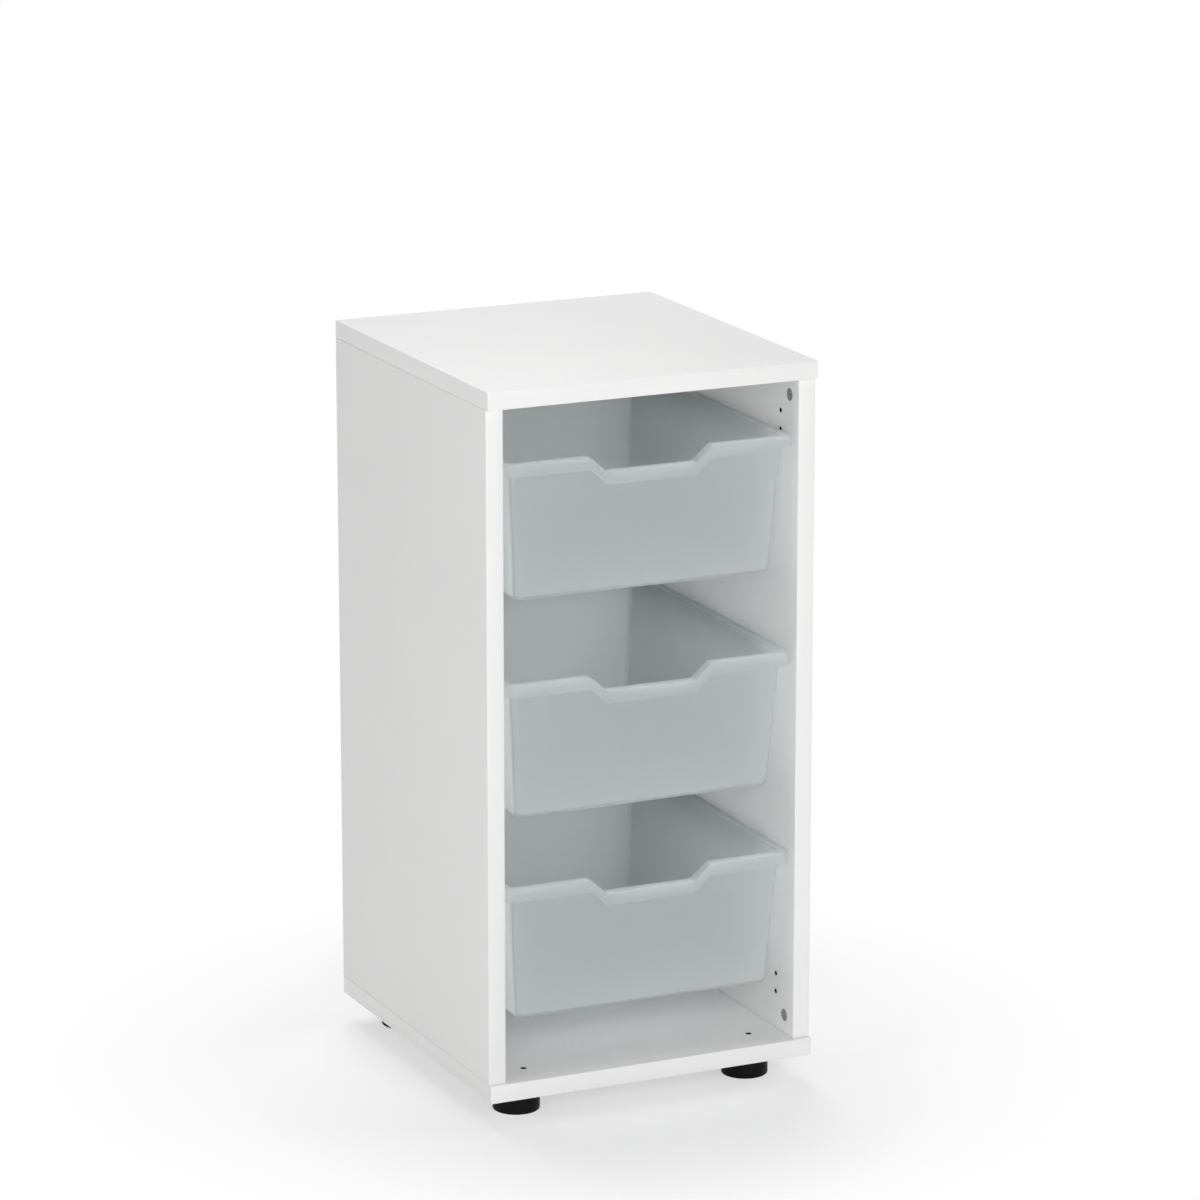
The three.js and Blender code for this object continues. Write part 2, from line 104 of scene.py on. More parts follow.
def pick(kind, test):
    """Picks the open piece's VERTs, EDGEs or FACEs by a test of their middle and direction."""
    bpy.ops.mesh.select_mode(type=kind)
    bpy.ops.mesh.select_all(action="DESELECT")
    mesh = bmesh.from_edit_mesh(bpy.context.object.data)
    if kind == "VERT":
        found = [v for v in mesh.verts if test(v.co, v.normal)]
    elif kind == "EDGE":
        found = []
        for edge in mesh.edges:
            start, end = edge.verts[0].co, edge.verts[1].co
            if test((start + end) / 2, (end - start).normalized()):
                found.append(edge)
    else:
        found = [f for f in mesh.faces if test(f.calc_center_median(), f.normal)]
    for element in found:
        element.select_set(True)
    mesh.select_flush_mode()
    bmesh.update_edit_mesh(bpy.context.object.data)
    return len(found)


def pull(*move):
    """Extrudes what is picked, and moves it along X, Y and Z."""
    bpy.ops.mesh.extrude_region_move(TRANSFORM_OT_translate={"value": move})


def round_over(offset, segments):
    """Rounds the picked edges, or the edges of the picked faces."""
    bpy.ops.mesh.bevel(offset=offset, segments=segments, affect="EDGES")


# %% Tools for finishing a piece
def close(piece, name, angle=35):
    """Merges doubles, turns faces outwards, leaves edit mode and smooths all but sharp edges."""
    bpy.ops.mesh.select_mode(type="VERT")
    bpy.ops.mesh.select_all(action="SELECT")
    bpy.ops.mesh.remove_doubles(threshold=0.002 * MM)
    bpy.ops.mesh.normals_make_consistent(inside=False)
    bpy.ops.object.mode_set(mode="OBJECT")
    bpy.ops.object.shade_smooth_by_angle(angle=math.radians(angle))
    piece.name = piece.data.name = name
    return piece


def apply(piece, kind, **settings):
    """Adds a modifier with these settings and applies it."""
    bpy.ops.object.select_all(action="DESELECT")
    piece.select_set(True)
    bpy.context.view_layer.objects.active = piece
    modifier = piece.modifiers.new(kind.lower(), kind)
    for setting, value in settings.items():
        setattr(modifier, setting, value)
    bpy.ops.object.modifier_apply(modifier=modifier.name)
    return piece


def ease_edges(piece, width, angle):
    """Rounds every edge that turns by more than the angle, in degrees."""
    return apply(piece, "BEVEL", width=width, segments=2, limit_method="ANGLE",
                 angle_limit=math.radians(angle))


def copy_of(piece, name, move=(0, 0, 0), flip=()):
    """A copy with its own mesh, flipped along axes through the origin and then moved."""
    bpy.ops.object.select_all(action="DESELECT")
    twin = piece.copy()
    twin.data = piece.data.copy()
    twin.name = twin.data.name = name
    bpy.context.scene.collection.objects.link(twin)
    twin.select_set(True)
    bpy.context.view_layer.objects.active = twin
    twin.location = move
    for axis in flip:
        twin.scale[axis] = -1
    bpy.ops.object.transform_apply(location=True, rotation=True, scale=True)
    if flip:
        bpy.ops.object.mode_set(mode="EDIT")
        bpy.ops.mesh.select_all(action="SELECT")
        bpy.ops.mesh.normals_make_consistent(inside=False)
        bpy.ops.object.mode_set(mode="OBJECT")
    return twin


def place(piece, body, slot, *nodes):
    """Lets the piece ride on its body in place of the nodes that it stands for."""
    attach(piece, body)
    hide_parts(*nodes)
    print(piece.name, len(piece.data.polygons), "faces on", body)


# %% [markdown]
# ## Materials
#
# Each finish is a small node tree around one Principled shader. Patterns read Object coordinates,
# so they keep their real size on every piece and stay put when the piece moves with its body. Tiny
# relief goes through a Bump node, whose distance is the real height of the grain.

# %% Tools for materials
def new_material(name, roughness, metallic=0.0, **sockets):
    """A Principled material, with the constants that are the same all over set on its sockets."""
    material = bpy.data.materials.new(name)
    material.use_nodes = True
    shader = material.node_tree.nodes["Principled BSDF"]
    shader.inputs["Roughness"].default_value = roughness
    shader.inputs["Metallic"].default_value = metallic
    for socket, value in sockets.items():
        shader.inputs[socket.replace("_", " ")].default_value = value
    return material


def noise(material, scale, detail=2.0, stretch=(1, 1, 1)):
    """A noise pattern on Object coordinates; scale is in patches for each metre."""
    tree = material.node_tree
    coordinates = tree.nodes.new("ShaderNodeTexCoord")
    mapping = tree.nodes.new("ShaderNodeMapping")
    mapping.inputs["Scale"].default_value = stretch
    pattern = tree.nodes.new("ShaderNodeTexNoise")
    pattern.inputs["Scale"].default_value = scale
    pattern.inputs["Detail"].default_value = detail
    tree.links.new(coordinates.outputs["Object"], mapping.inputs["Vector"])
    tree.links.new(mapping.outputs["Vector"], pattern.inputs["Vector"])
    return pattern.outputs["Fac"]


NOISE_LOW = 0.3
NOISE_HIGH = 0.7


def colour_between(material, factor, dark, light):
    """Colours the surface from dark to light, over the values that noise mostly has."""
    tree = material.node_tree
    ramp = tree.nodes.new("ShaderNodeValToRGB")
    ramp.color_ramp.elements[0].position = NOISE_LOW
    ramp.color_ramp.elements[0].color = (*dark, 1)
    ramp.color_ramp.elements[1].position = NOISE_HIGH
    ramp.color_ramp.elements[1].color = (*light, 1)
    tree.links.new(factor, ramp.inputs["Fac"])
    tree.links.new(ramp.outputs["Color"], tree.nodes["Principled BSDF"].inputs["Base Color"])


def vary_roughness(material, factor, low, high):
    """Lets the roughness wander between two values with the pattern."""
    tree = material.node_tree
    spread = tree.nodes.new("ShaderNodeMapRange")
    spread.inputs["To Min"].default_value = low
    spread.inputs["To Max"].default_value = high
    tree.links.new(factor, spread.inputs["Value"])
    tree.links.new(spread.outputs["Result"], tree.nodes["Principled BSDF"].inputs["Roughness"])


def relief(material, factor, height):
    """Raises the surface by the pattern, up to a real height in metres."""
    tree = material.node_tree
    bump = tree.nodes.new("ShaderNodeBump")
    bump.inputs["Strength"].default_value = 1
    bump.inputs["Distance"].default_value = height
    tree.links.new(factor, bump.inputs["Height"])
    tree.links.new(bump.outputs["Normal"], tree.nodes["Principled BSDF"].inputs["Normal"])


# %% [markdown]
# ### White melamine, its edge band, the chipboard inside and painted shade in the bores
#
# The faces are paper soaked in resin and pressed against a lightly pearled plate, which leaves a
# satin sheen with a fine grain. The edge band is a thin plastic strip, smoother and a touch
# glossier. Where a groove is cut the brown chipboard shows. The small bores are too narrow for
# light to reach in, so they get a near-black finish of their own, which is painted shade.

# %% Board materials
WHITE = (0.885, 0.885, 0.878)
WHITE_SHADE = (0.870, 0.870, 0.864)

melamine = new_material("white_melamine", 0.5, Specular_IOR_Level=0.4)
colour_between(melamine, noise(melamine, 9), WHITE_SHADE, WHITE)
vary_roughness(melamine, noise(melamine, 60), 0.46, 0.56)
relief(melamine, noise(melamine, 1100, detail=3), 0.02 * MM)

edge_band = new_material("white_edge_band", 0.38, Specular_IOR_Level=0.45)
colour_between(edge_band, noise(edge_band, 14), WHITE_SHADE, WHITE)
vary_roughness(edge_band, noise(edge_band, 90), 0.34, 0.42)
relief(edge_band, noise(edge_band, 420, detail=1), 0.01 * MM)

# Painted shade: the near-black colour stands for the shadow inside the small bores.
painted_bore_shade = new_material("painted_shade_in_bores", 0.95, Specular_IOR_Level=0.1)
colour_between(painted_bore_shade, noise(painted_bore_shade, 900, detail=4), (0.010, 0.008, 0.006),
               (0.030, 0.023, 0.017))
relief(painted_bore_shade, noise(painted_bore_shade, 1200, detail=3), 0.15 * MM)

chipboard = new_material("raw_chipboard", 0.9)
colour_between(chipboard, noise(chipboard, 700, detail=4), (0.16, 0.10, 0.05), (0.42, 0.29, 0.16))
relief(chipboard, noise(chipboard, 900, detail=3), 0.25 * MM)
print("board finishes:", melamine.name, edge_band.name, painted_bore_shade.name, chipboard.name)

# %% [markdown]
# ### Frosted tray plastic
#
# The trays are moulded from milky polypropylene. Of the light that falls on the thin wall, some is
# sent back, some is scattered on its way through, and the rest goes nearly straight through, only
# blurred. A Translucent shader alone would do the scattering, but then a tray that is pulled out
# glows like a lamp. So half is Translucent, and half is a Principled shader that is mostly a rough,
# weak glass. Along a rounded edge the light crosses more plastic, so an edge is dimmer than a face.
# Painted shade is added to this: the flange and the sides of the two front corners are dimmed as if
# shaded by the boards. The tray's mesh carries how much as an attribute, and both colours are
# multiplied down by it.

# %% Tray material
GLASS_SHARE = 0.83
GLASS_IOR = 1.12
SCATTERED_SHARE = 0.5
LET_THROUGH = (0.977, 0.993, 0.997)
# What is left of the colours at a fully marked face: dimmed for the longer path through the plastic
# at rounded edges, and as painted shade on the flange and front corners.
LEFT_AT_EDGES_AND_SHADE = 0.72

frosted = new_material("frosted_tray_plastic", 0.37, Specular_IOR_Level=0.3,
                       Transmission_Weight=GLASS_SHARE, IOR=GLASS_IOR)
colour_between(frosted, noise(frosted, 5), (0.968, 0.989, 0.992), (0.978, 0.995, 0.998))
vary_roughness(frosted, noise(frosted, 40), 0.34, 0.4)
relief(frosted, noise(frosted, 1500), 0.012 * MM)

tree = frosted.node_tree
shader = tree.nodes["Principled BSDF"]
let_through = tree.nodes.new("ShaderNodeBsdfTranslucent")
skin = tree.nodes.new("ShaderNodeMixShader")
skin.inputs["Fac"].default_value = SCATTERED_SHARE
tree.links.new(shader.outputs["BSDF"], skin.inputs[1])
tree.links.new(let_through.outputs["BSDF"], skin.inputs[2])
tree.links.new(skin.outputs["Shader"], tree.nodes["Material Output"].inputs["Surface"])

edge = tree.nodes.new("ShaderNodeAttribute")
edge.attribute_name = "edge"
dimming = tree.nodes.new("ShaderNodeMapRange")
dimming.inputs["To Min"].default_value = 1.0
dimming.inputs["To Max"].default_value = LEFT_AT_EDGES_AND_SHADE
tree.links.new(edge.outputs["Fac"], dimming.inputs["Value"])


def dimmed(colour):
    """A colour, constant or from a socket, multiplied down at the edges and where shade is painted
    on the flange and front corners.
    """
    times = tree.nodes.new("ShaderNodeVectorMath")
    times.operation = "SCALE"
    if isinstance(colour, tuple):
        times.inputs[0].default_value = colour
    else:
        tree.links.new(colour, times.inputs[0])
    tree.links.new(dimming.outputs["Result"], times.inputs["Scale"])
    return times.outputs["Vector"]


milk = shader.inputs["Base Color"].links[0].from_socket
tree.links.new(dimmed(milk), shader.inputs["Base Color"])
tree.links.new(dimmed(LET_THROUGH), let_through.inputs["Color"])
print("tray finish:", frosted.name, "which lets through", LET_THROUGH)

# %% [markdown]
# ### Plastics and metals of the fittings
#
# The runners are a pale plastic, and the feet a black one whose grain breaks up the shine. The cam
# discs are die-cast zinc, dull and mottled, and the screws are turned from steel. A noise pattern
# does for each. On the steel it is squeezed along Z, like the marks of a turning tool, and on the
# beech of the dowels it is drawn out, like grain.

# %% Fitting materials
runner_plastic = new_material("pale_runner_plastic", 0.45)
colour_between(runner_plastic, noise(runner_plastic, 12), (0.66, 0.67, 0.66), (0.70, 0.71, 0.70))
relief(runner_plastic, noise(runner_plastic, 1300), 0.015 * MM)

foot_plastic = new_material("black_foot_plastic", 0.5, Specular_IOR_Level=0.08)
colour_between(foot_plastic, noise(foot_plastic, 30), (0.0035, 0.004, 0.004),
               (0.007, 0.0075, 0.0075))
vary_roughness(foot_plastic, noise(foot_plastic, 150), 0.44, 0.58)
relief(foot_plastic, noise(foot_plastic, 1600), 0.03 * MM)

cast_zinc = new_material("cast_zinc", 0.5, metallic=0.5)
colour_between(cast_zinc, noise(cast_zinc, 500, detail=4), (0.26, 0.265, 0.27), (0.40, 0.405, 0.41))
vary_roughness(cast_zinc, noise(cast_zinc, 900), 0.38, 0.6)
relief(cast_zinc, noise(cast_zinc, 2200), 0.03 * MM)

plated_steel = new_material("plated_steel", 0.32, metallic=1.0)
colour_between(plated_steel, noise(plated_steel, 300, detail=3), (0.46, 0.47, 0.48),
               (0.58, 0.58, 0.58))
vary_roughness(plated_steel, noise(plated_steel, 700, stretch=(1, 1, 6)), 0.24, 0.4)
relief(plated_steel, noise(plated_steel, 1800), 0.01 * MM)

beech = new_material("plain_beech", 0.65)
colour_between(beech, noise(beech, 260, detail=4, stretch=(1, 1, 0.06)), (0.42, 0.26, 0.13),
               (0.62, 0.43, 0.25))
relief(beech, noise(beech, 900, detail=3, stretch=(1, 1, 0.08)), 0.05 * MM)
print("fitting finishes:", runner_plastic.name, foot_plastic.name, cast_zinc.name,
      plated_steel.name, beech.name)

# %% [markdown]
# ## Boards
#
# Each board is a block whose edges are eased, as edge banding is after trimming. Its broad faces
# get the melamine and its narrow ones the band. Rebates and bores are cut with a Boolean, whose
# cutters carry the chipboard finish, so that each cut shows the board's inside. The key holes and
# the spare holes are cut with a near-black finish instead, which is painted shade.

# %% Tools for boards
GAP = 0.3 * MM
EASE = 0.4 * MM
FINE = 64
SMALL = 32
QUARTER_TURN = math.radians(90)


def board(node, thick_axis):
    """A board in a node's place, with eased edges, melamine on the faces and band on the edges."""
    piece = add_block(*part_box(node))
    bpy.ops.mesh.select_all(action="SELECT")
    round_over(EASE, 3)
    close(piece, node.replace("panel", "board"))
    for finish in (melamine, edge_band, chipboard):
        piece.data.materials.append(finish)
    for face in piece.data.polygons:
        face.material_index = 0 if abs(face.normal[thick_axis]) > 0.99 else 1
    return piece


def round_cutter(primitive, start, end, **settings):
    """A round shape between two points on one axis, to cut with."""
    start, end = Vector(start), Vector(end)
    turn = (end - start).to_track_quat("Z", "Y").to_euler()
    bpy.ops.object.select_all(action="DESELECT")
    primitive(depth=(end - start).length, location=(start + end) / 2, rotation=turn, **settings)
    return bpy.context.object


def cutter_rod(radius, start, end, sides=SMALL):
    """A rod, used to drill a bore."""
    return round_cutter(bpy.ops.mesh.primitive_cylinder_add, start, end, vertices=sides,
                        radius=radius)


def cutter_cone(wide, narrow, start, end):
    """A countersink that narrows from start to end."""
    return round_cutter(bpy.ops.mesh.primitive_cone_add, start, end, vertices=SMALL,
                        radius1=wide, radius2=narrow)


def cut(piece, cutters, finish):
    """Cuts the shapes out of the piece one after another; the cut faces get the finish."""
    for cutter in cutters:
        cutter.data.materials.append(finish)
        apply(piece, "BOOLEAN", object=cutter, operation="DIFFERENCE", solver="EXACT",
              material_mode="TRANSFER")
        bpy.data.objects.remove(cutter)
    bpy.ops.object.mode_set(mode="EDIT")
    return close(piece, piece.name)


def weld(piece, parts):
    """Joins other closed shapes onto the piece."""
    for part in parts:
        apply(piece, "BOOLEAN", object=part, operation="UNION", solver="EXACT")
        bpy.data.objects.remove(part)
    bpy.ops.object.mode_set(mode="EDIT")
    return close(piece, piece.name)


def cross_recess(centre, into, span, width):
    """Two crossed wedges sunk into a face at its centre, which narrow as they go in."""
    into = Vector(into)
    proud = 0.5 * MM
    wedges = []
    for turn in (0, QUARTER_TURN):
        wedge = add_block((-span / 2, -width / 2, -into.length), (span / 2, width / 2, proud))
        pick("FACE", lambda spot, way: way.z < -0.9)
        bpy.ops.transform.resize(value=(0.35, 0.6, 1), center_override=(0, 0, -into.length))
        bpy.ops.object.mode_set(mode="OBJECT")
        wedge.rotation_mode = "QUATERNION"
        wedge.rotation_quaternion = into.to_track_quat("-Z", "Y") @ Quaternion((0, 0, 1), turn)
        wedge.location = centre
        bpy.ops.object.transform_apply(location=True, rotation=True, scale=True)
        wedges.append(wedge)
    return wedges


def middle(node):
    """The middle of a node's box."""
    low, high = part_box(node)
    return (low + high) / 2


# %% [markdown]
# ### Where the fittings sit
#
# Each side board is held at its top and at its bottom by two cam fittings and two dowels. Their
# holes could be placed by numbers. But the measured model has the fittings already, with the side,
# the end and the place in their names, so every bore can be put right round its fitting.

# %% Names and places of the fittings
SIDES = {"left": -1, "right": 1}
ENDS = {"bottom": -1, "top": 1}
PLACES = ("front", "back")
LEVELS = ("top", "middle", "bottom")

inner_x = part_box("left_side_panel")[1].x * -1
under_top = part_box("top_panel")[0].z
over_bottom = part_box("bottom_panel")[1].z
front_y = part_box("top_panel")[0].y
back_low, back_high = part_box("back_panel")
print("opening:", 2 * inner_x, "wide,", under_top - over_bottom, "high")


def fittings(kind, side=None, end=None):
    """The nodes of one kind of fitting on a side and at an end of the cabinet."""
    names = []
    for s in SIDES:
        for e in ENDS:
            if side in (None, s) and end in (None, e):
                names += [f"{kind}_{s}_{e}_{place_name}" for place_name in PLACES]
    return names


# %% Cutters shared by the boards
SCREW_NODES = sorted(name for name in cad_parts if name.startswith("back_screw"))
HOLE_RADIUS = 1.9 * MM
SINK_RADIUS = 4.7 * MM
SINK_DEPTH = 2.6 * MM
SINK_ABOVE = 0.56 * MM
REBATE_BEHIND = 5 * MM


def upright_bores(kind, radius, side=None, end=None):
    """Bores along Z round the dowels or the cam bolts."""
    rods = []
    for node in fittings(kind, side, end):
        low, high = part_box(node)
        x, y, _ = middle(node)
        rods.append(cutter_rod(radius, (x, y, low.z - GAP), (x, y, high.z + GAP)))
    return rods


def screw_holes(nodes):
    """Countersunk holes through the back, round its screws."""
    holes = []
    for node in nodes:
        low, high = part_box(node)
        x, _, z = middle(node)
        holes.append(cutter_rod(HOLE_RADIUS, (x, low.y - GAP, z), (x, high.y + MM, z)))
        holes.append(cutter_cone(SINK_RADIUS, HOLE_RADIUS, (x, high.y + SINK_ABOVE, z),
                                 (x, high.y - SINK_DEPTH, z)))
    return holes


def back_rebate():
    """A cutter for the groove that the back board lies in."""
    groove = add_block((back_low.x - GAP, back_low.y - GAP, back_low.z - GAP),
                       (back_high.x + GAP, back_high.y + REBATE_BEHIND, back_high.z + GAP))
    bpy.ops.object.mode_set(mode="OBJECT")
    return groove


# %% [markdown]
# ### Top and bottom boards
#
# Both have a rebate for the back board, blind bores for dowels and bolts, and a screw hole behind.
# The bottom board also has blind holes for the pins of the feet, and over each foot's screw a hole
# for a key. Each is cut on its own, because a Boolean is surest with simple closed shapes.

# %% Top board
DOWEL_BORE = 4.1 * MM
BOLT_BORE = 3.2 * MM

top_board = board("top_panel", 2)
cut(top_board, [back_rebate()] + upright_bores("dowel", DOWEL_BORE, end="top")
    + upright_bores("cam_bolt", BOLT_BORE, end="top") + screw_holes(["back_screw_top"]), chipboard)
place(top_board, "cabinet", "melamine_board", "top_panel")

# %% Bottom board
KEY_HOLE_RADIUS = 3.1 * MM
PIN_RADIUS = 4.8 * MM
PIN_ACROSS = 12 * MM
PIN_ALONG = 5 * MM
FEET = [f"{place_name}_{side}" for place_name in PLACES for side in SIDES]

below, above = 20 * MM, over_bottom + 20 * MM
key_holes = []
pin_holes = []
for foot in FEET:
    x, y, _ = middle(f"foot_screw_{foot}")
    key_holes.append(cutter_rod(KEY_HOLE_RADIUS, (x, y, below), (x, y, above)))
    x, y, _ = middle(f"foot_cup_{foot}")
    y += PIN_ALONG if foot.startswith("front") else -PIN_ALONG
    pin_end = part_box(f"foot_housing_{foot}")[1].z + GAP
    for pin_x in (x - PIN_ACROSS, x + PIN_ACROSS):
        pin_holes.append(cutter_rod(PIN_RADIUS + GAP, (pin_x, y, below), (pin_x, y, pin_end)))
bottom_board = board("bottom_panel", 2)
cut(bottom_board, [back_rebate()] + upright_bores("dowel", DOWEL_BORE, end="bottom") + pin_holes
    + upright_bores("cam_bolt", BOLT_BORE, end="bottom") + screw_holes(["back_screw_bottom"]),
    chipboard)
# The key holes get the near-black painted shade.
cut(bottom_board, key_holes, painted_bore_shade)
place(bottom_board, "cabinet", "melamine_board", "bottom_panel")

# %% [markdown]
# ### Side boards
#
# A side board has a round pocket for each cam disc, bores for the dowels and bolts in its ends, and
# small holes for the pegs of the runners. Near the front are four spare holes, which this cabinet
# doesn't use. A factory drills one pattern into all its side boards, so the pattern is one function
# here too, mirrored by a sign.

# %% Side boards
CAM_RADIUS = 6 * MM
CAM_POCKET = 12.7 * MM
SIDE_BOLT_BORE = 3.8 * MM
SPARE_FROM_FRONT = 44 * MM
SPARE_INSETS = (38.5 * MM, 57.5 * MM)
SPARE_RADIUS = 2.5 * MM
SPARE_DEPTH = 11.5 * MM
PEG_RADIUS = 2.2 * MM
PEG_FROM_END = 18 * MM
PEG_DROP = 9 * MM


def peg_places(runner):
    """Where the three pegs of a runner go into the side board: y and z of each."""
    low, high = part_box(runner)
    first, last = low.y + PEG_FROM_END, high.y - PEG_FROM_END
    return [(y, high.z - PEG_DROP) for y in (first, (first + last) / 2, last)]


def side_cutters(side, sx):
    """The rebate, cam holes and hidden bores of one side board."""
    cutters = [back_rebate()]
    face = sx * (inner_x - MM)
    pocket_end = sx * (inner_x + CAM_POCKET)
    for node in fittings("cam", side):
        _, y, z = middle(node)
        cutters.append(cutter_rod(CAM_RADIUS + GAP, (face, y, z), (pocket_end, y, z), FINE))
    for level in LEVELS:
        runner = f"runner_{side}_{level}"
        tip = sx * (max(abs(corner.x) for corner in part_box(runner)) + GAP)
        for y, z in peg_places(runner):
            cutters.append(cutter_rod(PEG_RADIUS + GAP, (face, y, z), (tip, y, z)))
    cutters += upright_bores("dowel", DOWEL_BORE, side)
    cutters += upright_bores("cam_bolt", SIDE_BOLT_BORE, side)
    cutters += screw_holes([name for name in SCREW_NODES if f"_{side}_" in name])
    return cutters


def spare_holes(sx):
    """The four spare holes near the front."""
    y = front_y + SPARE_FROM_FRONT
    heights = [z for inset in SPARE_INSETS for z in (under_top - inset, over_bottom + inset)]
    start, end = sx * (inner_x - MM), sx * (inner_x + SPARE_DEPTH)
    return [cutter_rod(SPARE_RADIUS, (start, y, z), (end, y, z)) for z in heights]


for side, sx in SIDES.items():
    side_board = board(f"{side}_side_panel", 0)
    cut(side_board, side_cutters(side, sx), chipboard)
    # The spare holes get the near-black painted shade.
    cut(side_board, spare_holes(sx), painted_bore_shade)
    place(side_board, "cabinet", "melamine_board", f"{side}_side_panel")

# %% [markdown]
# ### Back board
#
# The back is a thinner board in the rebates of the others. It keeps the cabinet square, so it is
# screwed on all round, in countersunk holes.

# %% Back board
back_board = board("back_panel", 1)
cut(back_board, screw_holes(SCREW_NODES), chipboard)
place(back_board, "cabinet", "melamine_board", "back_panel")

# %% [markdown]
# ## Trays
#
# A tray is one thin moulded shell. The surface that faces up and inwards is modelled first: a
# cavity with drafted sides and rounded corners, a flat flange round its mouth, and a skirt that
# hangs from the flange. A Solidify then gives the wall its thickness on the hidden side. Both sides
# could be modelled by hand, but the wall would hardly come out even.

# %% Tray sizes
WALL = 2.3 * MM
FLOOR = 2.6 * MM
DRAFT = math.tan(math.radians(4))
LIP = 10 * MM
FLANGE = 8.5 * MM
SKIRT = 12 * MM
RIM_CORNER = 14 * MM
BODY_CORNER = 4.5 * MM
FLOOR_CORNER = 3.4 * MM
CORNER_STEPS = 8
NOTCH_TOP = 65 * MM
NOTCH_BOTTOM = 47.5 * MM
NOTCH_DEPTH = 16 * MM
NOTCH_ROUND = 2 * MM

tray_low, tray_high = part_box("tray_top")
rim_z = tray_high.z
floor_z = tray_low.z + FLOOR
cavity_x = tray_high.x - FLANGE - WALL
cavity_front = tray_low.y + LIP + WALL
cavity_back = tray_high.y - LIP - WALL
print("tray:", (tray_high - tray_low)[:], "cavity:", 2 * cavity_x, cavity_back - cavity_front)

# %% Tray cavity
cavity = add_block((-cavity_x, cavity_front, floor_z), (cavity_x, cavity_back, rim_z))
pick("FACE", lambda spot, way: way.z < -0.9)
taper = (rim_z - floor_z) * DRAFT
cavity_half_y = (cavity_back - cavity_front) / 2
bpy.ops.transform.resize(value=(1 - taper / cavity_x, 1 - taper / cavity_half_y, 1),
                         center_override=(0, (cavity_back + cavity_front) / 2, floor_z))
pick("EDGE", lambda spot, way: abs(way.z) > 0.9)
round_over(BODY_CORNER, CORNER_STEPS)
pick("EDGE", lambda spot, way: spot.z < floor_z + NEAR)
round_over(FLOOR_CORNER, 6)
pick("FACE", lambda spot, way: way.z > 0.9 and spot.z > rim_z - MM)
bpy.ops.mesh.delete(type="FACE")
bpy.ops.object.mode_set(mode="OBJECT")
print("cavity:", len(cavity.data.polygons), "faces")

# %% Tray flange and skirt
rim_middle = (0, (tray_low.y + tray_high.y) / 2, rim_z)
rim = add(bpy.ops.mesh.primitive_plane_add, size=1, location=rim_middle)
bpy.ops.mesh.select_all(action="SELECT")
bpy.ops.transform.resize(value=(tray_high.x - tray_low.x, tray_high.y - tray_low.y, 1),
                         center_override=rim_middle)
bpy.ops.mesh.bevel(offset=RIM_CORNER, segments=CORNER_STEPS, affect="VERTICES")
bpy.ops.mesh.select_mode(type="FACE")
bpy.ops.mesh.select_all(action="SELECT")
bpy.ops.mesh.delete(type="ONLY_FACE")
bpy.ops.object.mode_set(mode="OBJECT")

bpy.ops.object.select_all(action="DESELECT")
rim.select_set(True)
cavity.select_set(True)
bpy.context.view_layer.objects.active = cavity
bpy.ops.object.join()
tray = bpy.context.object
bpy.ops.object.mode_set(mode="EDIT")
pick("EDGE", lambda spot, way: spot.z > rim_z - NEAR)
bpy.ops.mesh.bridge_edge_loops()


def on_rim_outline(spot):
    """True on the outer edge of the flange, straight or round."""
    corner_x = tray_high.x - RIM_CORNER
    front_corner = tray_low.y + RIM_CORNER
    back_corner = tray_high.y - RIM_CORNER
    over_x = max(abs(spot.x) - corner_x, 0)
    over_y = max(spot.y - back_corner, front_corner - spot.y, 0)
    return math.hypot(over_x, over_y) > RIM_CORNER - 0.4 * MM


pick("EDGE", lambda spot, way: on_rim_outline(spot) and spot.z > rim_z - NEAR)
pull(0, 0, -SKIRT)
pick("EDGE", lambda spot, way: on_rim_outline(spot) and spot.z > rim_z - NEAR)
round_over(0.45 * MM, 3)
print("flange edges:", pick("EDGE", lambda spot, way: spot.z > rim_z - NEAR))

# %% Round the mouth of the cavity
def on_cavity_mouth(spot):
    """True on the cavity's top edge."""
    over_x = max(abs(spot.x) - (cavity_x - BODY_CORNER), 0)
    over_y = max(spot.y - (cavity_back - BODY_CORNER), cavity_front + BODY_CORNER - spot.y, 0)
    return abs(math.hypot(over_x, over_y) - BODY_CORNER) < 0.5 * MM


pick("EDGE", lambda spot, way: spot.z > rim_z - NEAR and on_cavity_mouth(spot))
print("mouth:", 2 * cavity_x, "wide at the rim")
round_over(1.0 * MM, 3)

# %% [markdown]
# ### Finger notch
#
# The lip dips in the middle of the front, for a hand. A Boolean would leave a raw cut there, but on
# a moulded tray the lip goes down with the edge. So the front is cut into narrow columns, and the
# points of each are moved down by the dip at that place, which is rounded where the slope ends.

# %% Cut the front into columns and press in the notch
def notch_dip(x):
    """How far the rim dips at x: a straight slope with rounded ends."""
    def slope_part(x, corner):
        """The dip of a ramp that starts at a corner and is rounded over it."""
        run = corner - abs(x)
        if run <= -NOTCH_ROUND:
            return 0
        if run >= NOTCH_ROUND:
            return run
        return (run + NOTCH_ROUND) ** 2 / (4 * NOTCH_ROUND)
    steepness = NOTCH_DEPTH / (NOTCH_TOP - NOTCH_BOTTOM)
    return steepness * (slope_part(x, NOTCH_TOP) - slope_part(x, NOTCH_BOTTOM))


